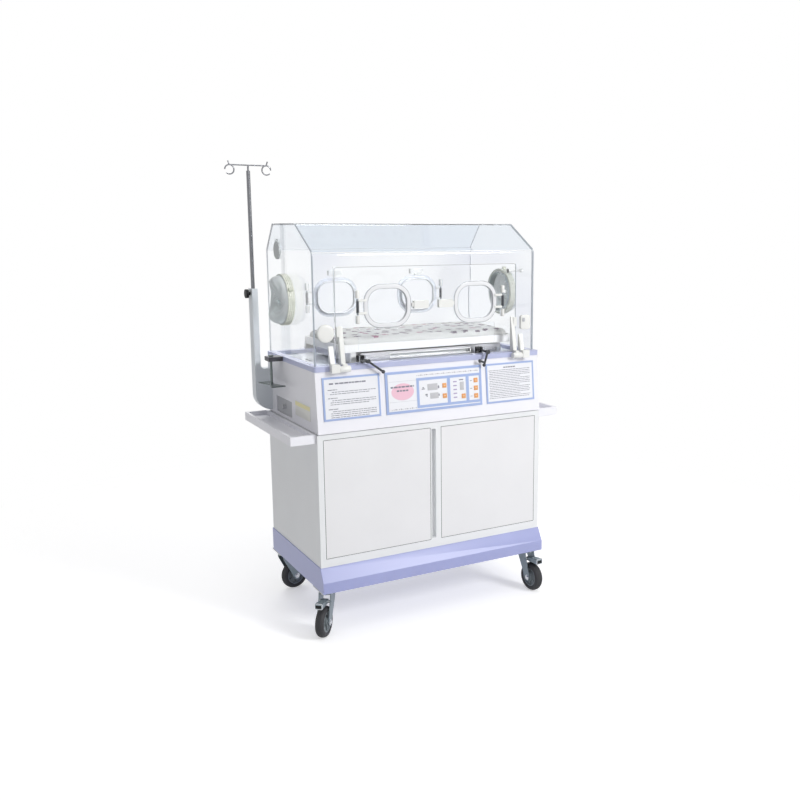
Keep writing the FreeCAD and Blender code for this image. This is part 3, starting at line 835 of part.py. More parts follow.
# casters: fixed plates with king pins; each fork turns on its king pin, each wheel on its axle
corners = [("front_left", "-casterX", "-casterY", "turnFrontLeft"), ("front_right", "casterX", "-casterY", "turnFrontRight"),
           ("back_left", "-casterX", "casterY", "turnBackLeft"), ("back_right", "casterX", "casterY", "turnBackRight")]
plates = []
for name, x, y, turn in corners:
    plate = box("casterPlate" + name, (f"{x}-plateWide/2", f"{y}-plateLong/2", "plinthBottom-plateThick"), (f"{x}+plateWide/2", f"{y}+plateLong/2", "plinthBottom"))
    king = rod("kingPin" + name, "kingRound", (x, y, "plinthBottom-plateThick-kingLong"), "kingLong+1")
    plates.append(fuse("casterTop" + name, plate, king))
done(group("casterPlateSet", *plates), "caster_plates")
for name, x, y, turn in corners:
    crown = rod("forkCrown" + name, "crownRound", ("0", "0", "crownLow"), "crownTop-crownLow")
    legs = []
    for i, low in enumerate(("-forkOuter", "forkOuter-forkThick")):
        leg = prism(f"forkLeg{name}{i}", "XZ_Plane", [("-crownRound*0.8", "crownTop-3"), ("-crownRound*0.7", "crownLow-14"), ("trail-12", "wheelRound-6"),
                                                     ("trail-5", "wheelRound-13"), ("trail+5", "wheelRound-13"), ("trail+13", "wheelRound+2"),
                                                     ("crownRound", "crownLow-10"), ("crownRound*0.9", "crownTop-3")], "forkThick", False, True)
        seat(leg, ("0", low, "0"))
        legs.append(leg)
    axle = rod("forkAxle" + name, "axleRound", ("trail", "-forkOuter-2", "wheelRound"), "2*forkOuter+4", "y")
    solid = fuse("forkSolid" + name, crown, *legs, axle)
    tools = [rod("kingBore" + name, "kingRound+boreGap", ("0", "0", "crownLow-3"), "crownTop-crownLow+4")]
    if name.startswith("front"):
        tools.append(rod("pedalBore" + name, "pedalPin+boreGap", ("pedalX", "-forkOuter-1", "pedalZ"), "2*forkOuter+2", "y"))
    done(cut("forkCut" + name, solid, *tools), "caster_fork_" + name, (x, y, "0"), (0, 0, 1), turn)
    wheel = newBody("wheelSolid" + name)
    tyre = wheel.newObject("PartDesign::Revolution", "wheelTurned" + name)
    tyre.Profile = outline(wheel, "XZ_Plane", [
        ("axleRound+boreGap", "-hubHalf"), ("hubRound", "-hubHalf"), ("hubRound", "-wheelHalf+3"), ("wheelRound-16", "-wheelHalf+3"),
        ("wheelRound-12", "-wheelHalf"), ("wheelRound-tyreEdge", "-wheelHalf"), ("wheelRound-2", "-wheelHalf+5"), ("wheelRound", "-wheelHalf+10"),
        ("wheelRound", "wheelHalf-10"), ("wheelRound-2", "wheelHalf-5"), ("wheelRound-tyreEdge", "wheelHalf"), ("wheelRound-12", "wheelHalf"),
        ("wheelRound-16", "wheelHalf-3"), ("hubRound", "wheelHalf-3"), ("hubRound", "hubHalf"), ("axleRound+boreGap", "hubHalf")], "wheelOutline" + name)
    tyre.ReferenceAxis = (axisOf(wheel, "Z_Axis"), [""])
    tyre.Angle = 360
    seat(wheel, ("trail", "0", "wheelRound"), (1, 0, 0), 90)
    holder = group("wheelHeld" + name, wheel)
    done(holder, "caster_wheel_" + name, (x, y, "0"), (0, 0, 1), turn)
    if name.startswith("front"):
        outer = box("pedalOuter" + name, ("pedalX-6", "-pedalHalf", "pedalZ-pedalTall/2"), ("pedalX+pedalLong", "pedalHalf", "pedalZ+pedalTall/2"))
        inner = box("pedalInner" + name, ("pedalX+8", "-pedalHalf+pedalWall", "pedalZ-pedalTall/2-1"), ("pedalX+pedalLong-pedalWall", "pedalHalf-pedalWall", "pedalZ+pedalTall/2-pedalWall"))
        pin = rod("pedalPin" + name, "pedalPin", ("pedalX", "-forkOuter", "pedalZ"), "2*forkOuter", "y")
        done(fuse("pedalSolid" + name, cut("pedalShell" + name, outer, inner), pin), "brake_pedal_" + name, (x, y, "0"), (0, 0, 1), turn)

doc.recompute()
faults = [o.Name for o in doc.Objects if "Invalid" in o.State or "Error" in o.State]
faults += [label for label, obj in finished.items() if obj.Shape.isNull() or not obj.Shape.isValid()]
if faults:
    raise RuntimeError("not built: " + ", ".join(faults))
for label, obj in finished.items():
    obj.Shape.exportStep(f"parts/{label}.step")
print(len(finished), "pieces written")
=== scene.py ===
import bmesh
import bpy
import math
import numpy as np
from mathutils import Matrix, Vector


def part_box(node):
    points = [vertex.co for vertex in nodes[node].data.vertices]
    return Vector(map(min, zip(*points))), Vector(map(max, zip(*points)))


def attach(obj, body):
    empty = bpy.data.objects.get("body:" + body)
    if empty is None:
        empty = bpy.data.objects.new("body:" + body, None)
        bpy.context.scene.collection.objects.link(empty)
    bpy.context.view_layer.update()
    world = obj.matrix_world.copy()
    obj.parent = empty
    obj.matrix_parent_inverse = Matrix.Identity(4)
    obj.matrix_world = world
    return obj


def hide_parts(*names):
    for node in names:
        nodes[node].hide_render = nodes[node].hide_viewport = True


# Looks of an infant incubator on casters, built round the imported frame. Metres, +X right, +Y back, +Z up.
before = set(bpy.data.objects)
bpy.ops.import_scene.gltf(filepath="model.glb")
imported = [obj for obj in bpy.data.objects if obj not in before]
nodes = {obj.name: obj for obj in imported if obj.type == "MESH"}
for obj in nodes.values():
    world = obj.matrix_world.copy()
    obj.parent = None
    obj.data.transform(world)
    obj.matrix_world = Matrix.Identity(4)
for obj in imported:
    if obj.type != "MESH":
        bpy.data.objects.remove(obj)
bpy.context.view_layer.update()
tau = 2 * math.pi
mm = 0.001


# shapes worked out with numpy

def joined(*parts):
    # several (points, faces) pairs as one, the faces' numbers shifted by the points before them
    points, faces, count = [], [], 0
    for some, flat in parts:
        points.append(some)
        faces += [[i + count for i in face] for face in flat]
        count += len(some)
    return np.concatenate(points), faces


def gridFaces(rows, columns, closedRows=False, closedColumns=False):
    # quads of a rows x columns grid, wrapped where it closes
    i = np.arange(rows if closedRows else rows - 1)[:, None]
    j = np.arange(columns if closedColumns else columns - 1)[None, :]
    a = i * columns + j
    b = i * columns + (j + 1) % columns
    c = ((i + 1) % rows) * columns + (j + 1) % columns
    d = ((i + 1) % rows) * columns + j
    return np.stack([a, b, c, d], -1).reshape(-1, 4).tolist()


def stacked(loops):
    # loops[k, n] are closed outlines of n points laid one above the other: sides between them and a cap at
    # each end
    rows, columns = loops.shape[:2]
    faces = gridFaces(rows, columns, False, True)
    faces.append(list(range(columns - 1, -1, -1)))
    faces.append([(rows - 1) * columns + k for k in range(columns)])
    return loops.reshape(-1, 3), faces


def roundedOutline(wide, tall, corner, steps=6):
    # corner centres at (+-(w/2-r), +-(h/2-r)), plus r times (cos a, sin a), a running once round
    corner = min(corner, wide / 2 - 1e-6, tall / 2 - 1e-6)
    turn = np.linspace(0, tau / 4, steps + 1)[None, :] + np.arange(4)[:, None] * tau / 4
    signX, signY = np.array([1, -1, -1, 1])[:, None], np.array([1, 1, -1, -1])[:, None]
    x = signX * (wide / 2 - corner) + corner * np.cos(turn)
    y = signY * (tall / 2 - corner) + corner * np.sin(turn)
    return np.stack([x.ravel(), y.ravel()], -1)


def slab(outline, thick, edge=0.0, steps=3):
    # an outline raised from z 0 to thick; near each end it steps inward by e(1-cos a) while z moves by e
    # sin a
    if edge <= 0:
        insets, heights = np.array([0.0, 0.0]), np.array([0.0, thick])
    else:
        a = np.linspace(0, tau / 4, steps + 1)
        insets = np.concatenate([edge * (1 - np.sin(a)), edge * (1 - np.cos(a))])
        heights = np.concatenate([edge * (1 - np.cos(a)), thick - edge + edge * np.sin(a)])
    ahead, behind = np.roll(outline, -1, 0), np.roll(outline, 1, 0)
    along = ahead - behind
    normal = np.stack([along[:, 1], -along[:, 0]], -1)
    normal /= np.maximum(np.linalg.norm(normal, axis=1, keepdims=True), 1e-12)
    flat = outline[None] - normal[None] * insets[:, None, None]
    z = np.broadcast_to(heights[:, None, None], flat.shape[:2] + (1,))
    return stacked(np.concatenate([flat, z], -1))


def block(low, high, edge=0.0, corner=None, steps=4, up="z"):
    # a box between two corners with rounded upright edges and softened ends; up names the axis of the
    # upright edges
    low, high = np.minimum(low, high), np.maximum(low, high)
    order = {"z": (0, 1, 2), "y": (2, 0, 1), "x": (1, 2, 0)}[up]
    size = (high - low)[list(order)]
    corner = edge if corner is None else corner
    if corner > 0:
        outline = roundedOutline(size[0], size[1], corner, steps)
    else:
        outline = np.array([(size[0], size[1]), (-size[0], size[1]), (-size[0], -size[1]),
                            (size[0], -size[1])]) / 2
    points, faces = slab(outline, size[2], edge)
    points[:, 2] -= size[2] / 2
    place = np.zeros_like(points)
    place[:, list(order)] = points
    return place + (low + high) / 2, faces


def turned(profile, steps=48):
    # a profile of (radius, height) carried once round Z; where the radius is 0 the points meet in a pole
    angle = np.arange(steps) * tau / steps
    r, z = np.asarray(profile, float).T
    points = np.stack([r[:, None] * np.cos(angle), r[:, None] * np.sin(angle),
                       np.broadcast_to(z[:, None], (len(r), steps))], -1)
    return points.reshape(-1, 3), gridFaces(len(r), steps, False, True)


def ringTurned(profile, steps=48):
    # a closed profile of (radius, height) carried round Z, which closes both ways
    angle = np.arange(steps) * tau / steps
    r, z = np.asarray(profile, float).T
    points = np.stack([r[:, None] * np.cos(angle), r[:, None] * np.sin(angle),
                       np.broadcast_to(z[:, None], (len(r), steps))], -1)
    return points.reshape(-1, 3), gridFaces(len(r), steps, True, True)


def carried(path, radius, steps=16, closed=False, shape=None):
    # a round (or given) section carried along a path; each section stands square to the path and is turned
    # as little
    # as can be from the one before
    path = np.asarray(path, float)
    radius = np.broadcast_to(radius, len(path)).astype(float)
    ahead = np.roll(path, -1, 0) - np.roll(path, 1, 0)
    if not closed:
        ahead[0], ahead[-1] = path[1] - path[0], path[-1] - path[-2]
    ahead /= np.linalg.norm(ahead, axis=1, keepdims=True)
    side = np.zeros_like(path)
    first = np.cross(ahead[0], (0, 0, 1.0) if abs(ahead[0][2]) < 0.9 else (0, 1.0, 0))
    side[0] = first / np.linalg.norm(first)
    for k in range(1, len(path)):
        s = side[k - 1] - ahead[k] * np.dot(side[k - 1], ahead[k])
        side[k] = s / np.linalg.norm(s)
    up = np.cross(ahead, side)
    if shape is None:
        angle = np.arange(steps) * tau / steps
        shape = np.stack([np.cos(angle), np.sin(angle)], -1)
    points = path[:, None] + radius[:, None, None] * (shape[None, :, :1] * side[:, None] + shape[None, :,
            1:] * up[:, None])
    if closed:
        return points.reshape(-1, 3), gridFaces(len(path), len(shape), True, True)
    return stacked(points)


def toward(shape, origin, zAxis, xAxis=None):
    # lays a shape drawn about Z on a place, its Z along zAxis and its X as near xAxis as can be
    points, faces = shape
    z = np.asarray(zAxis, float) / np.linalg.norm(zAxis)
    x = np.asarray(xAxis if xAxis is not None else ((1, 0, 0) if abs(z[0]) < 0.9 else (0, 1, 0)), float)
    x = x - z * np.dot(x, z)
    x /= np.linalg.norm(x)
    return points @ np.stack([x, np.cross(z, x), z]) + np.asarray(origin), faces


def spun(shape, angle, axis=2, centre=(0, 0, 0)):
    # turns a shape by an angle about a row axis through a point
    points, faces = shape
    c, s = math.cos(angle), math.sin(angle)
    i, j = [(1, 2), (2, 0), (0, 1)][axis]
    moved = points - centre
    out = moved.copy()
    out[:, i] = c * moved[:, i] - s * moved[:, j]
    out[:, j] = s * moved[:, i] + c * moved[:, j]
    return out + centre, faces


def shifted(shape, by):
    return shape[0] + np.asarray(by), shape[1]


def addPiece(name, shape, material, body, replaces=(), smooth=40, bevel=0.0, subdivide=0):
    # puts a shape into the scene: smooth is the angle, in degrees, over which an edge stays sharp
    points, faces = shape
    mesh = bpy.data.meshes.new(name)
    mesh.from_pydata(np.asarray(points).tolist(), [], faces)
    mesh.update()
    piece = bpy.data.objects.new(name, mesh)
    bpy.context.scene.collection.objects.link(piece)
    piece.data.materials.append(material)
    finishMesh(piece, smooth)
    if bevel:
        edge = piece.modifiers.new("soft edges", "BEVEL")
        edge.width, edge.segments, edge.limit_method, edge.angle_limit = bevel, 2, "ANGLE", math.radians(40)
    if subdivide:
        finer = piece.modifiers.new("finer", "SUBSURF")
        finer.levels = finer.render_levels = subdivide
    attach(piece, body)
    if replaces:
        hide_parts(*([replaces] if isinstance(replaces, str) else replaces))
    return piece


def finishMesh(piece, smooth):
    work = bmesh.new()
    work.from_mesh(piece.data)
    bmesh.ops.remove_doubles(work, verts=work.verts, dist=1e-6)
    bmesh.ops.recalc_face_normals(work, faces=work.faces)
    for face in work.faces:
        face.smooth = smooth > 0
    for edge in work.edges:
        if len(edge.link_faces) == 2 and smooth > 0:
            edge.smooth = edge.calc_face_angle(0) < math.radians(smooth)
    work.to_mesh(piece.data)
    work.free()


# shared effects, as node groups that put out colours and values

def newGroup(name, inputs, outputs):
    group = bpy.data.node_groups.new(name, "ShaderNodeTree")
    for label, kind, value in inputs:
        socket = group.interface.new_socket(name=label, in_out="INPUT", socket_type=kind)
        socket.default_value = value
    for label, kind in outputs:
        group.interface.new_socket(name=label, in_out="OUTPUT", socket_type=kind)
    return group, group.nodes.new("NodeGroupInput"), group.nodes.new("NodeGroupOutput")


def node(tree, kind, **settings):
    made = tree.nodes.new(kind)
    for key, value in settings.items():
        if key in made.inputs:
            made.inputs[key].default_value = value
        else:
            setattr(made, key, value)
    return made


def noiseAt(tree, coords, scale, detail=4.0, rough=0.55):
    made = node(tree, "ShaderNodeTexNoise")
    made.inputs["Detail"].default_value = detail
    made.inputs["Roughness"].default_value = rough
    tree.links.new(coords, made.inputs["Vector"])
    if isinstance(scale, (int, float)):
        made.inputs["Scale"].default_value = scale
    else:
        tree.links.new(scale, made.inputs["Scale"])
    return made.outputs["Fac"]


def buildHandling():
    # soft cloudy change of colour and roughness, as on surfaces that are wiped and touched
    group, source, out = newGroup("handling", [
        ("Color", "NodeSocketColor", (0.8, 0.8, 0.8, 1)), ("Roughness", "NodeSocketFloat", 0.4),
        ("Tint", "NodeSocketFloat", 0.03), ("Smear", "NodeSocketFloat", 0.08),
        ("Size", "NodeSocketFloat", 6.0)],
        [("Color", "NodeSocketColor"), ("Roughness", "NodeSocketFloat")])
    tree = group
    coords = node(tree, "ShaderNodeTexCoord").outputs["Object"]
    broad = noiseAt(tree, coords, source.outputs["Size"])
    fine = noiseAt(tree, coords, 90.0, 6.0)
    shade = node(tree, "ShaderNodeMix", data_type="RGBA", blend_type="MULTIPLY")
    level = node(tree, "ShaderNodeMapRange")
    tree.links.new(broad, level.inputs["Value"])
    level.inputs["From Min"].default_value, level.inputs["From Max"].default_value = 0.3, 0.7
    level.inputs["To Max"].default_value = 1.0
    floor = node(tree, "ShaderNodeMath", operation="SUBTRACT")
    floor.inputs[0].default_value = 1.0
    tree.links.new(source.outputs["Tint"], floor.inputs[1])
    tree.links.new(floor.outputs[0], level.inputs["To Min"])
    tree.links.new(source.outputs["Color"], shade.inputs["A"])
    tree.links.new(level.outputs["Result"], shade.inputs["B"])
    shade.inputs["Factor"].default_value = 1.0
    tree.links.new(shade.outputs["Result"], out.inputs["Color"])
    mixed = node(tree, "ShaderNodeMath", operation="ADD")
    tree.links.new(broad, mixed.inputs[0])
    tree.links.new(fine, mixed.inputs[1])
    centred = node(tree, "ShaderNodeMath", operation="SUBTRACT")
    tree.links.new(mixed.outputs[0], centred.inputs[0])
    centred.inputs[1].default_value = 1.0
    change = node(tree, "ShaderNodeMath", operation="MULTIPLY_ADD")
    tree.links.new(centred.outputs[0], change.inputs[0])
    tree.links.new(source.outputs["Smear"], change.inputs[1])
    tree.links.new(source.outputs["Roughness"], change.inputs[2])
    tree.links.new(change.outputs[0], out.inputs["Roughness"])
    return group


def buildPebble():
    # the fine skin of moulded plastic or sprayed paint, as a height
    group, source, out = newGroup("pebble", [("Size", "NodeSocketFloat", 900.0),
                                             ("Waves", "NodeSocketFloat", 0.4)],
                                  [("Height", "NodeSocketFloat")])
    tree = group
    coords = node(tree, "ShaderNodeTexCoord").outputs["Object"]
    fine = noiseAt(tree, coords, source.outputs["Size"], 2.0)
    broad = noiseAt(tree, coords, 14.0, 1.0)
    total = node(tree, "ShaderNodeMath", operation="MULTIPLY_ADD")
    tree.links.new(broad, total.inputs[0])
    tree.links.new(source.outputs["Waves"], total.inputs[1])
    tree.links.new(fine, total.inputs[2])
    tree.links.new(total.outputs[0], out.inputs["Height"])
    return group


def buildBrushed():
    # long fine streaks along one axis, for brushed or drawn steel
    group, source, out = newGroup("brushed", [("Along", "NodeSocketVector", (4.0, 900.0, 900.0))],
                                  [("Height", "NodeSocketFloat"), ("Streak", "NodeSocketFloat")])
    tree = group
    coords = node(tree, "ShaderNodeTexCoord").outputs["Object"]
    stretch = node(tree, "ShaderNodeVectorMath", operation="MULTIPLY")
    tree.links.new(coords, stretch.inputs[0])
    tree.links.new(source.outputs["Along"], stretch.inputs[1])
    streak = noiseAt(tree, stretch.outputs[0], 1.0, 3.0)
    tree.links.new(streak, out.inputs["Height"])
    tree.links.new(streak, out.inputs["Streak"])
    return group


handling, pebble, brushed = buildHandling(), buildPebble(), buildBrushed()


def newMaterial(name):
    material = bpy.data.materials.new(name)
    material.use_nodes = True
    tree = material.node_tree
    return material, tree, tree.nodes["Principled BSDF"]


def painted(name, colour, roughness=0.4, tint=0.03, smear=0.08, size=6.0, bump=0.02, grain=900.0, waves=0.4,
            metal=0.0, coat=0.0, coatRough=0.3, specular=0.5, sheen=0.0):
    # paint or moulded plastic: cloudy colour, wiped gloss and a fine skin
    material, tree, shader = newMaterial(name)
    worn = node(tree, "ShaderNodeGroup", node_tree=handling)
    worn.inputs["Color"].default_value = (*colour, 1)
    for label, value in (("Roughness", roughness), ("Tint", tint), ("Smear", smear), ("Size", size)):
        worn.inputs[label].default_value = value
    tree.links.new(worn.outputs["Color"], shader.inputs["Base Color"])
    tree.links.new(worn.outputs["Roughness"], shader.inputs["Roughness"])
    skin = node(tree, "ShaderNodeGroup", node_tree=pebble)
    skin.inputs["Size"].default_value, skin.inputs["Waves"].default_value = grain, waves
    raised = node(tree, "ShaderNodeBump")
    raised.inputs["Strength"].default_value = bump
    raised.inputs["Distance"].default_value = 0.0005
    tree.links.new(skin.outputs["Height"], raised.inputs["Height"])
    tree.links.new(raised.outputs["Normal"], shader.inputs["Normal"])
    shader.inputs["Metallic"].default_value = metal
    shader.inputs["Coat Weight"].default_value = coat
    shader.inputs["Coat Roughness"].default_value = coatRough
    shader.inputs["Specular IOR Level"].default_value = specular
    shader.inputs["Sheen Weight"].default_value = sheen
    return material


def steelFinish(name, colour, roughness, along=(4.0, 900.0, 900.0), bump=0.05):
    # bare steel with drawn streaks that change its gloss
    material, tree, shader = newMaterial(name)
    lines = node(tree, "ShaderNodeGroup", node_tree=brushed)
    lines.inputs["Along"].default_value = along
    gloss = node(tree, "ShaderNodeMapRange")
    gloss.inputs["To Min"].default_value = roughness * 0.7
    gloss.inputs["To Max"].default_value = roughness * 1.4
    tree.links.new(lines.outputs["Streak"], gloss.inputs["Value"])
    tree.links.new(gloss.outputs["Result"], shader.inputs["Roughness"])
    raised = node(tree, "ShaderNodeBump")
    raised.inputs["Strength"].default_value, raised.inputs["Distance"].default_value = bump, 0.0002
    tree.links.new(lines.outputs["Height"], raised.inputs["Height"])
    tree.links.new(raised.outputs["Normal"], shader.inputs["Normal"])
    shader.inputs["Base Color"].default_value = (*colour, 1)
    shader.inputs["Metallic"].default_value = 1.0
    return material


def clearSheet(name, colour, edge, axis="X", cut="LESS_THAN", slopeShade=None, haze=None, roughness=0.02,
               shadow=0.03):
    # clear acrylic: pale on its faces; a grey tint on its cut edges, which are the faces that look away from
    # (or along) an axis, is painted shade, and so is the darker tint on the slopes of a bent sheet, the
    # faces that look up or down; faintly cloudy where it has a haze
    material, tree, shader = newMaterial(name)
    split = node(tree, "ShaderNodeSeparateXYZ")
    tree.links.new(node(tree, "ShaderNodeTexCoord").outputs["Normal"], split.inputs[0])
    size = {}
    for letter in "XZ" if axis == "X" else "YZ":
        plain = node(tree, "ShaderNodeMath", operation="ABSOLUTE")
        tree.links.new(split.outputs[letter], plain.inputs[0])
        size[letter] = plain.outputs[0]
    # mask of the cut edges, which get the grey of painted shade
    edgeShadeMask = node(tree, "ShaderNodeMath", operation=cut)
    tree.links.new(size[axis], edgeShadeMask.inputs[0])
    edgeShadeMask.inputs[1].default_value = 0.5
    body = node(tree, "ShaderNodeMix", data_type="RGBA")
    body.inputs["B"].default_value = (*(slopeShade or colour), 1)
    faces = node(tree, "ShaderNodeMix", data_type="RGBA")
    faces.inputs["A"].default_value, faces.inputs["B"].default_value = (*colour, 1), (*(haze or colour), 1)
    cloud = node(tree, "ShaderNodeMapRange", interpolation_type="SMOOTHSTEP")
    cloud.inputs["From Min"].default_value, cloud.inputs["From Max"].default_value = 0.40, 0.66
    tree.links.new(noiseAt(tree, node(tree, "ShaderNodeTexCoord").outputs["Object"], 2.3, 1.0),
                   cloud.inputs["Value"])
    tree.links.new(cloud.outputs["Result"], faces.inputs["Factor"])
    tree.links.new(faces.outputs["Result"], body.inputs["A"])
    # faces that look up or down get the slopes' darker tint, painted shade
    lean = node(tree, "ShaderNodeMapRange", interpolation_type="SMOOTHSTEP")
    lean.inputs["From Min"].default_value, lean.inputs["From Max"].default_value = 0.2, 0.8
    tree.links.new(size["Z"], lean.inputs["Value"])
    tree.links.new(lean.outputs["Result"], body.inputs["Factor"])
    whole = node(tree, "ShaderNodeMix", data_type="RGBA")
    whole.inputs["B"].default_value = (*edge, 1)
    tree.links.new(body.outputs["Result"], whole.inputs["A"])
    tree.links.new(edgeShadeMask.outputs[0], whole.inputs["Factor"])
    tree.links.new(whole.outputs["Result"], shader.inputs["Base Color"])
    shader.inputs["Transmission Weight"].default_value = 1.0
    shader.inputs["IOR"].default_value = 1.08
    shader.inputs["Roughness"].default_value = roughness
    shader.inputs["Coat Weight"].default_value = 0.8
    shader.inputs["Coat Roughness"].default_value = 0.03
    path = node(tree, "ShaderNodeLightPath")
    passing = node(tree, "ShaderNodeMath", operation="MULTIPLY_ADD")
    tree.links.new(path.outputs["Is Shadow Ray"], passing.inputs[0])
    passing.inputs[1].default_value = shadow - 1.0
    passing.inputs[2].default_value = 1.0
    tree.links.new(passing.outputs[0], shader.inputs["Alpha"])
    return material


def film(name, colour, through, roughness=0.4):
    # thin milky film: partly lets light through, with a cloudy colour and soft creases in its gloss
    material = painted(name, colour, roughness, 0.10, 0.12, 16.0, 0.05, 300.0, 1.5)
    shader = material.node_tree.nodes["Principled BSDF"]
    shader.inputs["Transmission Weight"].default_value = through
    shader.inputs["IOR"].default_value = 1.1
    return material


def buildWeave():
    # threads over and under: |sin| ridges along X and Y, as a height
    group, source, out = newGroup("weave", [("Threads", "NodeSocketFloat", 1400.0)],
                                  [("Height", "NodeSocketFloat")])
    tree = group
    coords = node(tree, "ShaderNodeTexCoord").outputs["Object"]
    split = node(tree, "ShaderNodeSeparateXYZ")
    tree.links.new(coords, split.inputs[0])
    ridges = []
    for axis in ("X", "Y"):
        scaled = node(tree, "ShaderNodeMath", operation="MULTIPLY")
        tree.links.new(split.outputs[axis], scaled.inputs[0])
        tree.links.new(source.outputs["Threads"], scaled.inputs[1])
        wave = node(tree, "ShaderNodeMath", operation="SINE")
        tree.links.new(scaled.outputs[0], wave.inputs[0])
        ridges.append(wave.outputs[0])
    over = node(tree, "ShaderNodeMath", operation="MULTIPLY")
    tree.links.new(ridges[0], over.inputs[0])
    tree.links.new(ridges[1], over.inputs[1])
    tree.links.new(over.outputs[0], out.inputs["Height"])
    return group


weave = buildWeave()


def clothPrint():
    # pale cotton with scattered short strokes in rows, some grey and some rose
    material, tree, shader = newMaterial("padCloth")
    coords = node(tree, "ShaderNodeTexCoord").outputs["Object"]
    stretch = node(tree, "ShaderNodeVectorMath", operation="MULTIPLY")
    tree.links.new(coords, stretch.inputs[0])
    stretch.inputs[1].default_value = (23.0, 20.0, 0.0)
    cells = node(tree, "ShaderNodeTexVoronoi", feature="F1", voronoi_dimensions="2D")
    cells.inputs["Scale"].default_value = 1.0
    cells.inputs["Randomness"].default_value = 0.7
    tree.links.new(stretch.outputs[0], cells.inputs["Vector"])
    # each stroke is a flat oval round its cell's own point, its outline made uneven by noise
    apart = node(tree, "ShaderNodeVectorMath", operation="SUBTRACT")
    tree.links.new(stretch.outputs[0], apart.inputs[0])
    tree.links.new(cells.outputs["Position"], apart.inputs[1])
    oval = node(tree, "ShaderNodeVectorMath", operation="MULTIPLY")
    tree.links.new(apart.outputs[0], oval.inputs[0])
    oval.inputs[1].default_value = (1.0, 1.25, 0.0)
    reach = node(tree, "ShaderNodeVectorMath", operation="LENGTH")
    tree.links.new(oval.outputs[0], reach.inputs[0])
    edge = node(tree, "ShaderNodeMath", operation="MULTIPLY_ADD")
    tree.links.new(noiseAt(tree, coords, 110.0, 2.0), edge.inputs[0])
    edge.inputs[1].default_value, edge.inputs[2].default_value = 0.70, -0.10
    stroke = node(tree, "ShaderNodeMath", operation="LESS_THAN")
    tree.links.new(reach.outputs["Value"], stroke.inputs[0])
    tree.links.new(edge.outputs[0], stroke.inputs[1])
    kind = node(tree, "ShaderNodeSeparateColor")
    tree.links.new(cells.outputs["Color"], kind.inputs[0])
    pick = node(tree, "ShaderNodeMath", operation="GREATER_THAN")
    tree.links.new(kind.outputs["Red"], pick.inputs[0])
    pick.inputs[1].default_value = 0.68
    ink = node(tree, "ShaderNodeMix", data_type="RGBA")
    tree.links.new(pick.outputs[0], ink.inputs["Factor"])
    ink.inputs["A"].default_value, ink.inputs["B"].default_value = (0.17, 0.13, 0.17, 1), (0.34, 0.15, 0.22,
            1)
    ground = node(tree, "ShaderNodeMix", data_type="RGBA")
    upper = node(tree, "ShaderNodeSeparateXYZ")
    tree.links.new(node(tree, "ShaderNodeTexCoord").outputs["Normal"], upper.inputs[0])
    onTop = node(tree, "ShaderNodeMath", operation="GREATER_THAN")
    tree.links.new(upper.outputs["Z"], onTop.inputs[0])
    onTop.inputs[1].default_value = 0.6
    shown = node(tree, "ShaderNodeMath", operation="MULTIPLY")
    tree.links.new(stroke.outputs[0], shown.inputs[0])
    tree.links.new(onTop.outputs[0], shown.inputs[1])
    tree.links.new(shown.outputs[0], ground.inputs["Factor"])
    ground.inputs["A"].default_value = (0.63, 0.63, 0.615, 1)
    tree.links.new(ink.outputs["Result"], ground.inputs["B"])
    tree.links.new(ground.outputs["Result"], shader.inputs["Base Color"])
    threads = node(tree, "ShaderNodeGroup", node_tree=weave)
    raised = node(tree, "ShaderNodeBump")
    raised.inputs["Strength"].default_value, raised.inputs["Distance"].default_value = 0.25, 0.0003
    tree.links.new(threads.outputs["Height"], raised.inputs["Height"])
    tree.links.new(raised.outputs["Normal"], shader.inputs["Normal"])
    shader.inputs["Roughness"].default_value = 0.9
    shader.inputs["Specular IOR Level"].default_value = 0.12
    shader.inputs["Sheen Weight"].default_value = 0.03
    return material


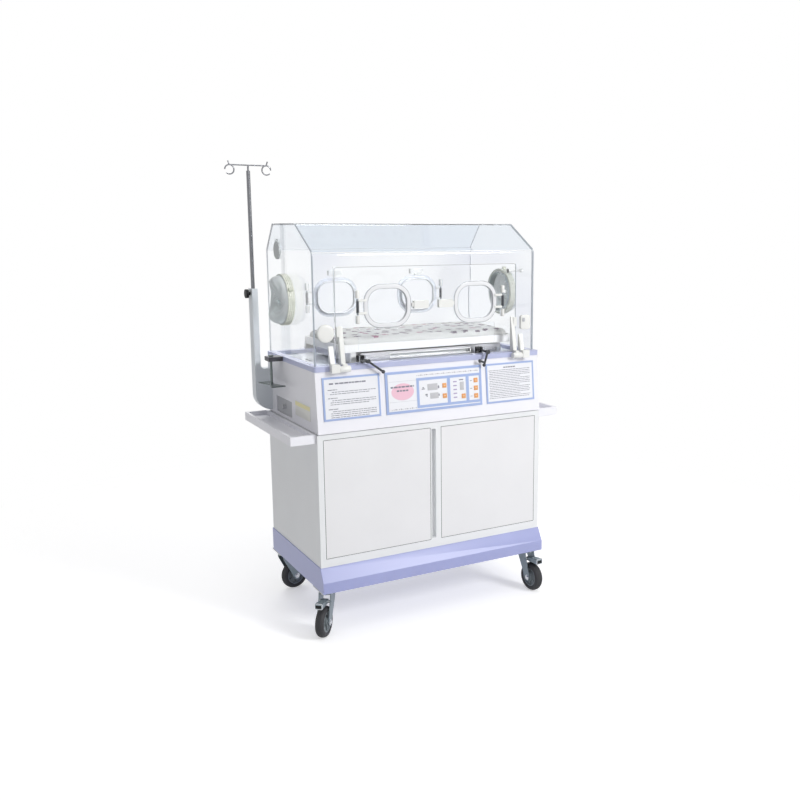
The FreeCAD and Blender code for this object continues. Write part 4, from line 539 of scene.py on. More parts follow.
paints = {
    "cabinetWhite": painted("cabinetWhite", (0.84, 0.855, 0.87), 0.42, 0.03, specular=0.35),
    "doorWhite": painted("doorWhite", (0.83, 0.83, 0.845), 0.40, 0.03, specular=0.35),
    "housingWhite": painted("housingWhite", (0.88, 0.88, 0.93), 0.38, 0.03, specular=0.4),
    "lavender": painted("lavender", (0.37, 0.40, 0.68), 0.38, 0.05, coat=0.45, coatRough=0.32,
                        specular=0.25),
    "rimLavender": painted("rimLavender", (0.50, 0.53, 0.74), 0.36, 0.05, specular=0.35),
    "panelBlue": painted("panelBlue", (0.36, 0.46, 0.74), 0.4, 0.03),
    "labelWhite": painted("labelWhite", (0.85, 0.86, 0.90), 0.3, 0.02),
    "keyOrange": painted("keyOrange", (0.78, 0.36, 0.12), 0.45, 0.06),
    "deckWhite": painted("deckWhite", (0.72, 0.76, 0.82), 0.4, 0.03),
    "trayIvory": painted("trayIvory", (0.90, 0.90, 0.89), 0.35, 0.02),
    "creamPlastic": painted("creamPlastic", (0.83, 0.835, 0.81), 0.3, 0.03),
    "ringYellow": film("ringYellow", (0.86, 0.88, 0.77), 0.35, 0.3),
    "cuffFilm": film("cuffFilm", (0.92, 0.96, 0.97), 0.4),
    "plugGrey": painted("plugGrey", (0.52, 0.55, 0.56), 0.45, 0.06),
    "sealGrey": painted("sealGrey", (0.30, 0.33, 0.36), 0.5, 0.08),
    "blackPlastic": painted("blackPlastic", (0.014, 0.014, 0.016), 0.5, 0.2, specular=0.2),
    "greyPlastic": painted("greyPlastic", (0.48, 0.49, 0.52), 0.45, 0.05),
    "tyreRubber": painted("tyreRubber", (0.035, 0.035, 0.040), 0.65, 0.2, 0.1, 12.0, 0.1, 600.0),
    "armWhite": painted("armWhite", (0.68, 0.72, 0.76), 0.36, 0.03),
    "darkSteel": painted("darkSteel", (0.06, 0.06, 0.07), 0.45, 0.2, 0.1, 20.0, 0.05, metal=0.6),
    "steel": steelFinish("steel", (0.60, 0.60, 0.62), 0.28),
    "chrome": steelFinish("chrome", (0.20, 0.205, 0.22), 0.24, (300.0, 300.0, 6.0), 0.0),
    "chromeLight": steelFinish("chromeLight", (0.66, 0.67, 0.69), 0.18, (60.0, 60.0, 60.0), 0.03),
    "zinc": steelFinish("zinc", (0.42, 0.43, 0.43), 0.35, (60.0, 60.0, 60.0), 0.05),
    # the grey edge colours of the clear sheets and the shell's darker slope colour are painted shade
    "shellClear": clearSheet("shellClear", (0.975, 0.985, 0.995), (0.66, 0.72, 0.78), "X", "GREATER_THAN",
                             (0.85, 0.89, 0.935), (0.87, 0.885, 0.93)),
    "endClear": clearSheet("endClear", (0.965, 0.975, 0.985), (0.66, 0.72, 0.79), "X"),
    "doorClear": clearSheet("doorClear", (0.975, 0.985, 0.995), (0.60, 0.66, 0.73), "Y"),
    "sheetCloth": painted("sheetCloth", (0.85, 0.85, 0.87), 0.8, 0.02, sheen=0.2),
    "inkGrey": painted("inkGrey", (0.22, 0.22, 0.27), 0.5, 0.1),
    "hairGrey": painted("hairGrey", (0.62, 0.62, 0.68), 0.5, 0.1),
    "lampMauve": painted("lampMauve", (0.42, 0.36, 0.55), 0.3, 0.1),
    "displayGrey": painted("displayGrey", (0.56, 0.56, 0.59), 0.18, 0.05),
    "markPink": painted("markPink", (0.86, 0.55, 0.66), 0.4, 0.05),
    "keyPale": painted("keyPale", (0.86, 0.72, 0.60), 0.4, 0.05),
    "plateCream": painted("plateCream", (0.80, 0.80, 0.76), 0.35, 0.05),
    "milkBand": painted("milkBand", (0.80, 0.81, 0.83), 0.25, 0.03),
    # paler band and lips of the back ports are painted light; the lips' grey is painted shade
    "palePort": painted("palePort", (0.88, 0.895, 0.92), 0.25, 0.02),
    "paleLineShade": painted("paleLineShade", (0.66, 0.69, 0.74), 0.25, 0.03),
    "lineShade": painted("lineShade", (0.36, 0.37, 0.40), 0.25, 0.06),
    "handleGrey": painted("handleGrey", (0.16, 0.19, 0.19), 0.3, 0.15, 0.15, 30.0, metal=0.7),
    "leverGrey": painted("leverGrey", (0.055, 0.058, 0.065), 0.28, 0.2, 0.15, 30.0, metal=0.3),
    "bandYellow": painted("bandYellow", (0.86, 0.80, 0.40), 0.35, 0.05),
    # near-black of the strips in the door gaps: painted shade
    "gapShade": painted("gapShade", (0.035, 0.037, 0.04), 0.6, 0.15),
    # white of the seams, and of the back edge strips, where it is painted light
    "seamAndEdgeLight": painted("seamAndEdgeLight", (0.80, 0.83, 0.87), 0.3, 0.03),
    # pale grey of the fine lines along the hood's bends: painted shade
    "bendLineShade": painted("bendLineShade", (0.66, 0.70, 0.75), 0.2, 0.04),
    # grey of the front and top edge strips: painted shade
    "edgeShade": painted("edgeShade", (0.36, 0.40, 0.45), 0.25, 0.05),
    "capWhite": painted("capWhite", (0.84, 0.84, 0.82), 0.3, 0.03),
    "springSteel": painted("springSteel", (0.05, 0.05, 0.06), 0.3, 0.1, metal=0.8),
    "ringBand": painted("ringBand", (0.86, 0.88, 0.80), 0.3, 0.04),
    "portClear": clearSheet("portClear", (0.95, 0.965, 0.99), (0.62, 0.66, 0.72), "Y"),
    # white of the bead in the hood's front bend: a painted highlight
    "bendHighlight": painted("bendHighlight", (0.93, 0.95, 0.97), 0.2, 0.02, coat=0.5),
    "hubGrey": painted("hubGrey", (0.22, 0.25, 0.27), 0.45, 0.1, 0.1, 20.0),
    "forkZinc": painted("forkZinc", (0.26, 0.31, 0.34), 0.32, 0.12, 0.12, 25.0, 0.04, metal=0.7),
    "padCloth": clothPrint(),
}

nodeFinish = {
    "cabinetWhite": ["cabinet_shell"],
    "doorWhite": ["cabinet_door_left", "cabinet_door_right"],
    "housingWhite": ["housing_shell", "side_trays"],
    "lavender": ["plinth"],
    "rimLavender": ["deck_rim"],
    "panelBlue": ["text_panels", "control_frame"],
    "labelWhite": ["control_module"],
    "keyOrange": ["key_pads"],
    "deckWhite": ["deck_panel"],
    "trayIvory": ["mattress_tray"],
    "creamPlastic": ["hood_hinges", "access_hinges", "access_straps", "door_knob_left", "door_knob_right",
                     "front_catches", "back_catches"],
    "ringYellow": ["sleeve_ring_left", "sleeve_ring_right"],
    "cuffFilm": ["sleeve_cuff_left", "sleeve_cuff_right"],
    "plugGrey": ["tube_plug"],
    "blackPlastic": ["pole_clamp", "power_inlet", "fan_motor"],
    "greyPlastic": ["service_hatch", "fan_wheel", "water_trough"],
    "tyreRubber": ["caster_wheel_front_left", "caster_wheel_front_right", "caster_wheel_back_left",
                   "caster_wheel_back_right"],
    "armWhite": ["pole_arm"],
    "darkSteel": ["brake_pedal_front_left", "brake_pedal_front_right", "rod_bracket"],
    "steel": ["bed_frame", "heater_ring"],
    "chrome": ["drip_pole"],
    "zinc": ["caster_plates"],
    "handleGrey": ["rod_handle"],
    "leverGrey": ["bed_lever_left", "bed_lever_right"],
    "forkZinc": ["caster_fork_front_left", "caster_fork_front_right", "caster_fork_back_left",
                 "caster_fork_back_right"],
    "shellClear": ["hood_shell"],
    "endClear": ["hood_end_left", "hood_end_right"],
    "doorClear": ["access_door", "front_port_left", "front_port_right", "back_port_left", "back_port_right",
                  "bed_guard"],
    "sheetCloth": ["mattress"],
}
for finish, members in nodeFinish.items():
    for name in members:
        mesh = nodes[name].data
        mesh.materials.clear()
        mesh.materials.append(paints[finish])
print("finishes on", len(nodes), "nodes")


# floor, light and camera

def seenBy(tree, *rays):
    # 1 for the named kinds of ray and 0 for the rest, and 0 once a ray has left a dull surface
    path = node(tree, "ShaderNodeLightPath")
    total = path.outputs[rays[0]]
    for ray in rays[1:]:
        either = node(tree, "ShaderNodeMath", operation="MAXIMUM")
        tree.links.new(total, either.inputs[0])
        tree.links.new(path.outputs[ray], either.inputs[1])
        total = either.outputs[0]
    fresh = node(tree, "ShaderNodeMath", operation="LESS_THAN")
    tree.links.new(path.outputs["Diffuse Depth"], fresh.inputs[0])
    fresh.inputs[1].default_value = 0.5
    both = node(tree, "ShaderNodeMath", operation="MULTIPLY")
    tree.links.new(total, both.inputs[0])
    tree.links.new(fresh.outputs[0], both.inputs[1])
    return both.outputs[0]


def setStage():
    # the world: white to the eye, to mirrors and through glass, softer as light on the object
    world = bpy.data.worlds.new("studio")
    bpy.context.scene.world = world
    world.use_nodes = True
    tree = world.node_tree
    back = tree.nodes["Background"]
    level = node(tree, "ShaderNodeMapRange")
    level.inputs["To Min"].default_value, level.inputs["To Max"].default_value = studio["fill"], 1.0
    tree.links.new(seenBy(tree, "Is Camera Ray", "Is Transmission Ray", "Is Glossy Ray"),
                   level.inputs["Value"])
    tree.links.new(level.outputs["Result"], back.inputs["Strength"])
    back.inputs["Color"].default_value = (1, 1, 1, 1)

    # near the object the floor takes light and shadow, and further out it turns plain white to the eye
    floorMaterial, tree, shader = newMaterial("studioFloor")
    shader.inputs["Base Color"].default_value = (0.82, 0.82, 0.83, 1)
    shader.inputs["Roughness"].default_value = 0.9
    shader.inputs["Specular IOR Level"].default_value = 0.0
    seen = seenBy(tree, "Is Camera Ray", "Is Transmission Ray", "Is Glossy Ray")
    lift = node(tree, "ShaderNodeMath", operation="MULTIPLY")
    tree.links.new(seen, lift.inputs[0])
    lift.inputs[1].default_value = studio["floorLift"]
    tree.links.new(lift.outputs[0], shader.inputs["Emission Strength"])
    shader.inputs["Emission Color"].default_value = (1, 1, 1, 1)
    reach = node(tree, "ShaderNodeVectorMath", operation="LENGTH")
    tree.links.new(node(tree, "ShaderNodeTexCoord").outputs["Object"], reach.inputs[0])
    far = node(tree, "ShaderNodeMapRange", interpolation_type="SMOOTHSTEP")
    far.inputs["From Min"].default_value, far.inputs["From Max"].default_value = studio["clear"]
    tree.links.new(reach.outputs["Value"], far.inputs["Value"])
    share = node(tree, "ShaderNodeMath", operation="MULTIPLY")
    tree.links.new(far.outputs["Result"], share.inputs[0])
    tree.links.new(seen, share.inputs[1])
    white = node(tree, "ShaderNodeEmission")
    both = node(tree, "ShaderNodeMixShader")
    tree.links.new(share.outputs[0], both.inputs["Fac"])
    tree.links.new(shader.outputs[0], both.inputs[1])
    tree.links.new(white.outputs[0], both.inputs[2])
    tree.links.new(both.outputs[0], tree.nodes["Material Output"].inputs["Surface"])
    half = studio["floorHalf"]
    mesh = bpy.data.meshes.new("studioFloor")
    mesh.from_pydata([(-half, -half, 0), (half, -half, 0), (half, half, 0), (-half, half, 0)], [],
                     [(0, 1, 2, 3)])
    floor = bpy.data.objects.new("studioFloor", mesh)
    floor.data.materials.append(floorMaterial)
    bpy.context.scene.collection.objects.link(floor)

    for name, (spot, aim, size, power) in studio["lamps"].items():
        lamp = bpy.data.lights.new(name, "AREA")
        lamp.shape, lamp.size, lamp.energy = "DISK", size, power
        holder = bpy.data.objects.new(name, lamp)
        holder.location = spot
        holder.rotation_euler = (Vector(aim) - Vector(spot)).to_track_quat("-Z", "Y").to_euler()
        bpy.context.scene.collection.objects.link(holder)


studio = {
    "fill": 0.41, "floorLift": 0.45, "floorHalf": 30.0, "clear": (0.9, 2.2),
    "lamps": {
        "keyLamp": ((2.2, -4.1, 2.9), (0.0, 0.0, 0.7), 1.5, 138),
        "topLamp": ((-0.6, -1.6, 4.0), (0.0, 0.0, 0.9), 2.2, 20),
        "backLamp": ((0.6, 3.2, 3.0), (0.0, 0.0, 0.9), 2.4, 42),
    },
}
setStage()

camera = {
    "place": (-1.3572, -2.8309, 1.2802), "yaw": 0.526, "pitch": 0.177,
    "focal": 913.4, "centre": (470.25, 393.1), "picture": 800,
}
eye = bpy.data.cameras.new("photoCamera")
eye.sensor_width = 36.0
eye.lens = camera["focal"] / camera["picture"] * eye.sensor_width
eye.shift_x = (camera["picture"] / 2 - camera["centre"][0]) / camera["picture"]
eye.shift_y = (camera["centre"][1] - camera["picture"] / 2) / camera["picture"]
eyeHolder = bpy.data.objects.new("photoCamera", eye)
eyeHolder.location = camera["place"]
look = Vector((math.sin(camera["yaw"]) * math.cos(camera["pitch"]),
               math.cos(camera["yaw"]) * math.cos(camera["pitch"]),
               -math.sin(camera["pitch"])))
eyeHolder.rotation_mode = "QUATERNION"
eyeHolder.rotation_quaternion = look.to_track_quat("-Z", "Y")
bpy.context.scene.collection.objects.link(eyeHolder)
bpy.context.scene.camera = eyeHolder
bpy.context.scene.view_settings.view_transform = "Standard"
print("stage, lamps and camera set")

# places in the maker's working frame, in millimetres: X across, Y back, Z up from the floor

workShift = np.array([20.6, 4.3, 0.0])
frontLean = {"x": 20.6, "y": -235.7, "z": 660.0, "rise": 0.9961, "back": 0.0882}


def placed(shape):
    # working millimetres to the frame's metres
    return (shape[0] + workShift) * mm, shape[1]


def onFront(shape):
    # x across, y up the leaning front and z out of it, in millimetres, laid on the front of the housing
    points, faces = shape
    lean = frontLean
    turn = np.array([(1, 0, 0), (0, lean["back"], lean["rise"]), (0, -lean["rise"], lean["back"])])
    return (points @ turn + (lean["x"], lean["y"], lean["z"])) * mm, faces


def facing(shape, at, normal, across=None):
    # a shape drawn flat in x and y and raised in z, laid so that its z looks along normal, in working
    # millimetres
    return placed(toward(shape, at, normal, across))


# panels on the leaning front

panels = {
    "low": 45.5, "high": 168.5, "textInner": 202, "textOuter": 382, "textFloor": 1.5, "sheet": 0.5,
    "ink": 0.16, "moduleFace": 4.0, "subThick": 0.7, "seed": 7,
}


def plate(x0, x1, v0, v1, z0, z1, corner=0.0, edge=0.0):
    outline = roundedOutline(x1 - x0, v1 - v0, corner, 4) if corner > 0 else \
        np.array([(x1 - x0, v1 - v0), (x0 - x1, v1 - v0), (x0 - x1, v0 - v1), (x1 - x0, v0 - v1)]) / 2
    points, faces = slab(outline, z1 - z0, edge)
    return points + ((x0 + x1) / 2, (v0 + v1) / 2, z0), faces


def greekedRow(chance, x0, x1, v, tall, z, wordLow=5.0, wordHigh=16.0, gap=1.8):
    # one row of plain dashes of chance lengths, in place of lettering
    words, x = [], x0
    while x < x1 - 3:
        end = min(x + chance.uniform(wordLow, wordHigh), x1)
        words.append(plate(x, end, v - tall / 2, v + tall / 2, z, z + panels["ink"]))
        x = end + gap
    return words


def dottedRow(x0, x1, v, size, pitch, z):
    # a row of small marks, each a short dash of one of three heights
    starts = np.arange(x0, x1, pitch)
    return [plate(x, x + size * (0.6 + 0.25 * (i % 3)), v - size / 2, v + size * (0.1 + 0.2 * (i % 3)), z,
                  z + panels["ink"])
            for i, x in enumerate(starts)]


def panelSheets():
    low, high, z = panels["low"], panels["high"], panels["textFloor"]
    top = z + panels["sheet"]
    chance = np.random.default_rng(panels["seed"])
    sheets = [plate(s * panels["textInner"], s * panels["textOuter"], low, high, z - 0.02, top, 0,
                    0) if s > 0 else
              plate(-panels["textOuter"], -panels["textInner"], low, high, z - 0.02, top, 0,
                    0) for s in (-1, 1)]
    addPiece("text_sheets", onFront(joined(*sheets)), paints["labelWhite"], "cabinet")
    rows = greekedRow(chance, -346, -242, 154, 4.4, top)
    rows += [plate(-366, -352, 151.6, 156.4, top, top + panels["ink"], 1.5)]
    for start, count in ((135, 2), (109, 3), (75, 4)):
        rows += greekedRow(chance, -371, -340, start, 2.3, top)
        for k in range(count):
            rows += greekedRow(chance, -364 if k else -358, -211 - (22 if k == count - 1 else 0),
                               start - 7.2 - 6.2 * k, 1.9, top)
    rows += greekedRow(chance, 266, 316, 159, 4.0, top)
    for k in range(17):
        v = 150.5 - 5.9 * k
        rows += greekedRow(chance, 209 if k % 4 else 207, 372 - (40 if k % 5 == 4 else 0), v, 1.7, top)
    addPiece("text_rows", onFront(joined(*rows)), paints["inkGrey"], "cabinet")


def controlFace():
    z = panels["moduleFace"]
    top = z + panels["subThick"]
    chance = np.random.default_rng(panels["seed"] + 1)
    addPiece("module_sheet", onFront(plate(-168.6, 168.6, 47.9, 166.1, z - 0.02, z + 0.2)),
             paints["labelWhite"], "cabinet")
    # periwinkle bars round the three white windows
    x0, x1, v0, v1 = -68, 168.6, 51, 148.5
    bars = [plate(x0, x1, v1 - 8.5, v1, z, top), plate(x0, x1, v0, v0 + 8.5, z, top)]
    for a, b in ((x0, x0 + 9), (44.5, 55.5), (115.5, 126.5), (x1 - 2.4, x1)):
        bars.append(plate(a, b, v0 + 8.5, v1 - 8.5, z, top))
    addPiece("control_bars", onFront(joined(*bars)), paints["panelBlue"], "cabinet")
    thin = z + 0.2
    ink = dottedRow(-66, 162, 157.5, 3.2, 6.9, thin) + dottedRow(-160, -74, 53.5, 3.2, 6.6, thin)
    for v, a, b in ((125, -160, -77), (112.5, -139, -95)):
        ink += greekedRow(chance, a, b, v, 5.0, thin, 6, 14, 2.4)
    for x, v, w, h in ((-44, 116, 6, 3), (-44, 111.5, 12, 3), (-33, 92, 8, 5), (-31, 87, 5, 3),
                       (12, 114, 5, 9), (13, 88, 4, 7)):
        ink.append(plate(x - w / 2, x + w / 2, v - h / 2, v + h / 2, thin, thin + 0.16, 1.2))
    for v in (124.5, 98.5, 72.5):
        ink.append(plate(131, 139, v - 0.8, v + 0.8, thin, thin + 0.16))
    ink.append(plate(90, 106, 129, 132.5, thin, thin + 0.16, 1.0))
    ink += [plate(94, 98, v, v + 0.9, thin, thin + 0.16) for v in np.arange(99, 122, 4.2)]
    addPiece("control_marks", onFront(joined(*ink)), paints["inkGrey"], "cabinet")
    lamps = [plate(67, 81, v - 2, v + 2, thin, thin + 0.9, 1.8, 0.5) for v in (126, 113, 100, 87, 74)]
    addPiece("control_lamps", onFront(joined(*lamps)), paints["lampMauve"], "cabinet")
    glass = [plate(-28.5, 8.5, 105.5, 126.5, thin, thin + 0.5, 1.5, 0.2),
             plate(-20, 11, 77.5, 96.5, thin, thin + 0.5, 1.5, 0.2),
             plate(92, 107.5, 96.5, 124, thin, thin + 0.3, 1.0, 0.1)]
    addPiece("control_displays", onFront(joined(*glass)), paints["displayGrey"], "cabinet")
    # generic round mark where the maker's own sign would be
    angle = np.arange(64) * tau / 64
    disc = np.stack([40 * np.cos(angle), 27 * np.sin(angle)], -1)
    points, faces = slab(disc, 0.12)
    addPiece("round_mark", onFront((points + (-118, 109, z + 0.2), faces)), paints["markPink"], "cabinet")
    lines = [plate(-166, -68, v, v + 0.9, thin, thin + 0.14) for v in (142.5, 77)]
    addPiece("round_mark_lines", onFront(joined(*lines)), paints["hairGrey"], "cabinet")
    # rounded caps over the keys, each with a paler ring
    keys = ((34, 117), (34, 83), (105, 76), (153, 125), (153, 99), (153, 73))
    caps = [plate(x - 6.6, x + 6.6, v - 6.6, v + 6.6, 5.15, 5.75, 2.6, 0.5) for x, v in keys]
    addPiece("key_caps", onFront(joined(*caps)), paints["keyOrange"], "cabinet")
    marks = [plate(x - 3.2, x + 3.2, v - 0.9, v + 0.9, 5.7, 5.85, 0.8) for x, v in keys]
    addPiece("key_marks", onFront(joined(*marks)), paints["keyPale"], "cabinet")


panelSheets()
controlFace()
print("front panels drawn")


# side label plate, bare, beside the water hatch

sidePlate = {"x": -409.2, "front": -176, "back": -40, "low": 690, "high": 738, "thick": 0.8, "band": 13}


def buildSidePlate():
    s = sidePlate
    flat = slab(roundedOutline(s["back"] - s["front"], s["high"] - s["low"], 3, 4), s["thick"], 0.3)
    addPiece("side_plate", facing(flat, (s["x"], (s["front"] + s["back"]) / 2, (s["low"] + s["high"]) / 2),
                                  (-1, 0, 0), (0, -1, 0)),
             paints["plateCream"], "cabinet")
    middle = (s["x"] - s["thick"], (s["front"] + s["back"]) / 2, s["high"] - s["band"] / 2 - 2)
    band = slab(roundedOutline(s["back"] - s["front"] - 4, s["band"], 1, 3), 0.15)
    addPiece("side_plate_band", facing(band, middle, (-1, 0, 0), (0, -1, 0)), paints["bandYellow"],
             "cabinet")


buildSidePlate()


# hand ports: clear plate with a milky band between two fine lips, cream arms, spring on the hinge; the lips'
# grey is painted shade of the band's edges, and the back ports' band and lips are painted paler than the
# front's, a painted light

port = {
    "wide": 165, "tall": 138, "corner": 58, "z": 1044, "left": -154, "right": 168, "hingeLeft": -258,
    "hingeRight": 272,
    "out": 8, "front": -203, "back": 225, "thick": 6, "gap": 0.4, "band": 15, "bandHigh": 2.6, "lip": 1.05,
    "armLow": 16, "armHigh": 24, "armThick": 4, "tube": 3.4, "tubeHalf": 25, "coil": 4.5, "wire": 0.75,
    "turns": 15,
    "lugLow": 27, "lugHigh": 51, "lug": 5.5, "collarInset": 9,
}


def loopTube(outline, z, radius, steps=10):
    # a round wire along a closed flat outline at height z
    path = np.concatenate([outline, np.full((len(outline), 1), z)], 1)
    return carried(path, radius, steps, closed=True)


def bandRing(outer, inner, z0, z1, rise=0.8):
    # a flat band between two outlines of equal count, its top softened by the rise at each side
    q = [(0.0, z0), (0.0, z1 - rise), (0.06, z1 - rise * 0.3), (0.16, z1), (0.84, z1),
         (0.94, z1 - rise * 0.3), (1.0, z1 - rise), (1.0, z0)]
    loops = [np.concatenate([outer * (1 - t) + inner * t, np.full((len(outer), 1), z)], 1) for t, z in q]
    loops = np.stack(loops)
    return loops.reshape(-1, 3), gridFaces(len(q), len(outer), True, True)


def portParts(side, wall):
    p = port
    body = f"{wall}_port_{side}"
    out = -1 if wall == "front" else 1
    centre = p["left"] if side == "left" else p["right"]
    pivot = p["hingeLeft"] if side == "left" else p["hingeRight"]
    face = p[wall] + out * p["gap"]
    normal = (0, out, 0)
    across = (1, 0, 0)
    spot = (centre, face, p["z"])
    outer = roundedOutline(p["wide"], p["tall"], p["corner"], 12)
    pane = slab(outer, p["thick"] - p["bandHigh"], 0.8)
    addPiece(f"{body}_pane", facing(pane, spot, normal, across), paints["portClear"], body,
             replaces=body)
    edge = roundedOutline(p["wide"] - 2.6, p["tall"] - 2.6, p["corner"] - 1.3, 12)
    inner = roundedOutline(p["wide"] - 2 * p["band"], p["tall"] - 2 * p["band"], p["corner"] - p["band"],
                           12)
    z0 = p["thick"] - p["bandHigh"] - 0.1
    # the back ports' band is painted paler than the front's: painted light
    addPiece(f"{body}_band", facing(bandRing(edge, inner, z0, p["thick"] - 0.3), spot, normal, across),
             paints["milkBand" if wall == "front" else "palePort"], body)
    # the lips' grey is painted shade of the band's edges, paler on the back ports as painted light
    lips = joined(loopTube(roundedOutline(p["wide"] - 2.8, p["tall"] - 2.8, p["corner"] - 1.4, 12),
                           p["thick"] - 1.3, p["lip"]),
                  loopTube(roundedOutline(p["wide"] - 2 * p["band"] + 1, p["tall"] - 2 * p["band"] + 1,
                                          p["corner"] - p["band"] + 0.5, 12),
                           p["thick"] - 1.3, p["lip"]))
    addPiece(f"{body}_lips", facing(lips, spot, normal, across),
             paints["lineShade" if wall == "front" else "paleLineShade"], body)
    # arms from the band out to the tube, the tube and its spring
    y = p[wall] + out * p["out"]
    sign = -1 if side == "left" else 1
    arms = []
    for low in (-p["armHigh"], p["armLow"]):
        x0, x1 = sorted((pivot, centre + sign * (p["wide"] / 2 - p["collarInset"])))
        arms.append(block(np.array((x0, y - p["armThick"] / 2, p["z"] + low)),
                          np.array((x1, y + p["armThick"] / 2, p["z"] + low + p["armHigh"] - p["armLow"])),
                          1.1, 1.6, 3, "y"))
    addPiece(f"{body}_arms", placed(joined(*arms)), paints["creamPlastic"], body)
    half = p["tubeHalf"]
    tube = turned([(0, -half), (p["tube"] - 0.6, -half), (p["tube"], -half + 0.6), (p["tube"], half - 0.6),
                   (p["tube"] - 0.6, half), (0, half)], 24)
    addPiece(f"{body}_tube", placed(shifted(tube, (pivot, y, p["z"]))), paints["sealGrey"], body)
    s = np.linspace(0, 1, p["turns"] * 14 + 1)
    helix = np.stack([p["coil"] * np.cos(s * p["turns"] * tau), p["coil"] * np.sin(s * p["turns"] * tau),
                      (s - 0.5) * 2 * (half - 7)], -1)
    addPiece(f"{body}_spring", placed(shifted(carried(helix, p["wire"], 6), (pivot, y, p["z"]))),
             paints["springSteel"], body)
    # caps on the fixed lugs, and the soft edging of the opening, both on the wall
    carrier = "access" if wall == "front" else "hood"
    caps = []
    for sgn in (-1, 1):
        a, b, r = p["lugLow"] + 0.4, p["lugHigh"] + 1.2, p["lug"] + 0.9
        shape = turned([(2.2, a), (r - 0.8, a), (r, a + 0.8), (r, b - 2.2), (r - 0.8, b - 0.8),
                        (r - 2.4, b), (0, b)], 28)
        points, faces = shape
        caps.append((points * (1, 1, sgn) + (pivot, y, p["z"]),
                     faces if sgn > 0 else [f[::-1] for f in faces]))
    addPiece(f"{body}_caps", placed(joined(*caps)), paints["capWhite"], carrier)
    thick = 5.0
    trim = carried(np.concatenate([roundedOutline(138, 111, 44, 12), np.zeros((52, 1))], 1), 1.0,
                   closed=True,
                   shape=np.stack([2.6 * np.cos(np.arange(16) * tau / 16),
                                   4.2 * np.sin(np.arange(16) * tau / 16)], -1))
    inward = p[wall] - out * thick / 2
    addPiece(f"{body}_edging", facing(trim, (centre, inward, p["z"]), normal, across), paints["milkBand"],
             carrier)


for wall in ("front", "back"):
    for side in ("left", "right"):
        portParts(side, wall)
print("hand ports made")


# sleeve ports: banded ring, and a membrane twisted to a small eye

sleeve = {
    "y": 25, "z": 1058, "ringFace": 426.5, "ringStart": 403.5, "ring": 82, "cuff": 78, "eye": 8,
    "bulge": 20,
    "folds": 9, "fold": 2.6, "swirl": 2.3, "lobe": 0.55, "bandRound": 1.5, "rows": 44, "columns": 200,
    "thick": 1.0,
}


def cuffSurface(turn):
    # radius runs from the rim to the eye; height = bulge x sin(pi x t^0.6) x (1 + lobe x cos 2a) + folds
    # that swirl inward
    s = sleeve
    t = np.linspace(0, 1, s["rows"])[:, None]
    a = np.arange(s["columns"])[None, :] * tau / s["columns"]
    r = s["cuff"] + (s["eye"] - s["cuff"]) * t
    twist = a + s["swirl"] * t + turn
    lobes = 1 + s["lobe"] * np.cos(2 * (a - tau / 4 + 0.5 * t))
    height = s["bulge"] * np.sin(math.pi * np.clip(t, 0, 1) ** 0.55 * 0.93) * lobes
    folds = s["fold"] * (0.35 + t) * np.sin(s["folds"] * twist + 1.3 * np.sin(3 * a)) * np.clip(t * 6, 0, 1)
    rimWave = 1 + 0.02 * np.sin(2 * a) * (1 - t)
    x = r * rimWave * np.cos(a)
    y = r * rimWave * np.sin(a)
    z = np.clip(height + folds, 0.4 * (t > 0), None) + 0.3
    outer = np.stack([x, y, z], -1)
    under = outer - (0, 0, s["thick"])
    loops = np.concatenate([outer, under[::-1]])
    return loops.reshape(-1, 3), gridFaces(2 * s["rows"], s["columns"], True, True)


def buildSleeves():
    s = sleeve
    for side, sign in (("left", -1), ("right", 1)):
        across = (0, sign, 0)
        at = (sign * s["ringFace"], s["y"], s["z"])
        addPiece(f"cuff_{side}", facing(cuffSurface(0.0 if sign < 0 else 1.9), at, (sign, 0, 0), across),
                 paints["cuffFilm"],
                 f"sleeve_{side}", replaces=f"sleeve_cuff_{side}", smooth=80)
        bands = [ringTurned(np.stack([s["ring"] - 0.3 + s["bandRound"] * np.cos(np.arange(10) * tau / 10),
                                      z + s["bandRound"] * np.sin(np.arange(10) * tau / 10)], -1),
                                      96) for z in (3.2, 9.4, 15.6, 21.2)]
        addPiece(f"sleeve_bands_{side}", facing(joined(*bands), (sign * s["ringStart"], s["y"], s["z"]),
                                                (sign, 0, 0), across),
                 paints["ringBand"], f"sleeve_{side}")
        hem = ringTurned(np.stack([78.6 + 2.2 * np.cos(np.arange(12) * tau / 12),
                                   0.2 + 2.0 * np.sin(np.arange(12) * tau / 12)], -1), 96)
        addPiece(f"cuff_hem_{side}", facing(hem, at, (sign, 0, 0), across), paints["cuffFilm"],
                 f"sleeve_{side}")
    # peg with a ball outside the right end, over the sleeve
    peg = turned([(0, 0), (8, 0), (8.6, 0.8), (8.6, 3.4), (7.6, 4.4), (4.2, 5.2), (3.8, 9), (3.8, 50),
                  (4.6, 51.5), (7.0, 53.6),
                  (8.0, 57.4), (7.0, 61.2), (4.4, 63.6), (0, 64.4)], 32)
    addPiece("end_peg", facing(peg, (402, -40, 1135), (1, 0, 0), (0, 1, 0)), paints["capWhite"], "hood")


buildSleeves()
print("sleeves made")


# mattress: a soft pad swollen by cloth simulation

pad = {
    "low": (-292.0, -157.5, 901.8), "high": (332.0, 147.5, 940.0), "corner": 24, "edge": 11, "voxel": 0.005,
    "pressure": 3.5, "frames": 14, "cap": 0.003,
}


def buildMattress():
    p = pad
    shape = placed(block(np.array(p["low"]), np.array(p["high"]), p["edge"], p["corner"], 8, "z"))
    piece = addPiece("mattress_pad", shape, paints["padCloth"], "bed_tray",
                     replaces="mattress", smooth=180)
    before = swell(piece)
    print("mattress swollen, largest move", before)
    smoothAll(piece)


def smoothAll(piece):
    mesh = piece.data
    mesh.polygons.foreach_set("use_smooth", np.ones(len(mesh.polygons), bool))
    mesh.update()


def meshPoints(mesh):
    flat = np.zeros(len(mesh.vertices) * 3)
    mesh.vertices.foreach_get("co", flat)
    return flat.reshape(-1, 3)


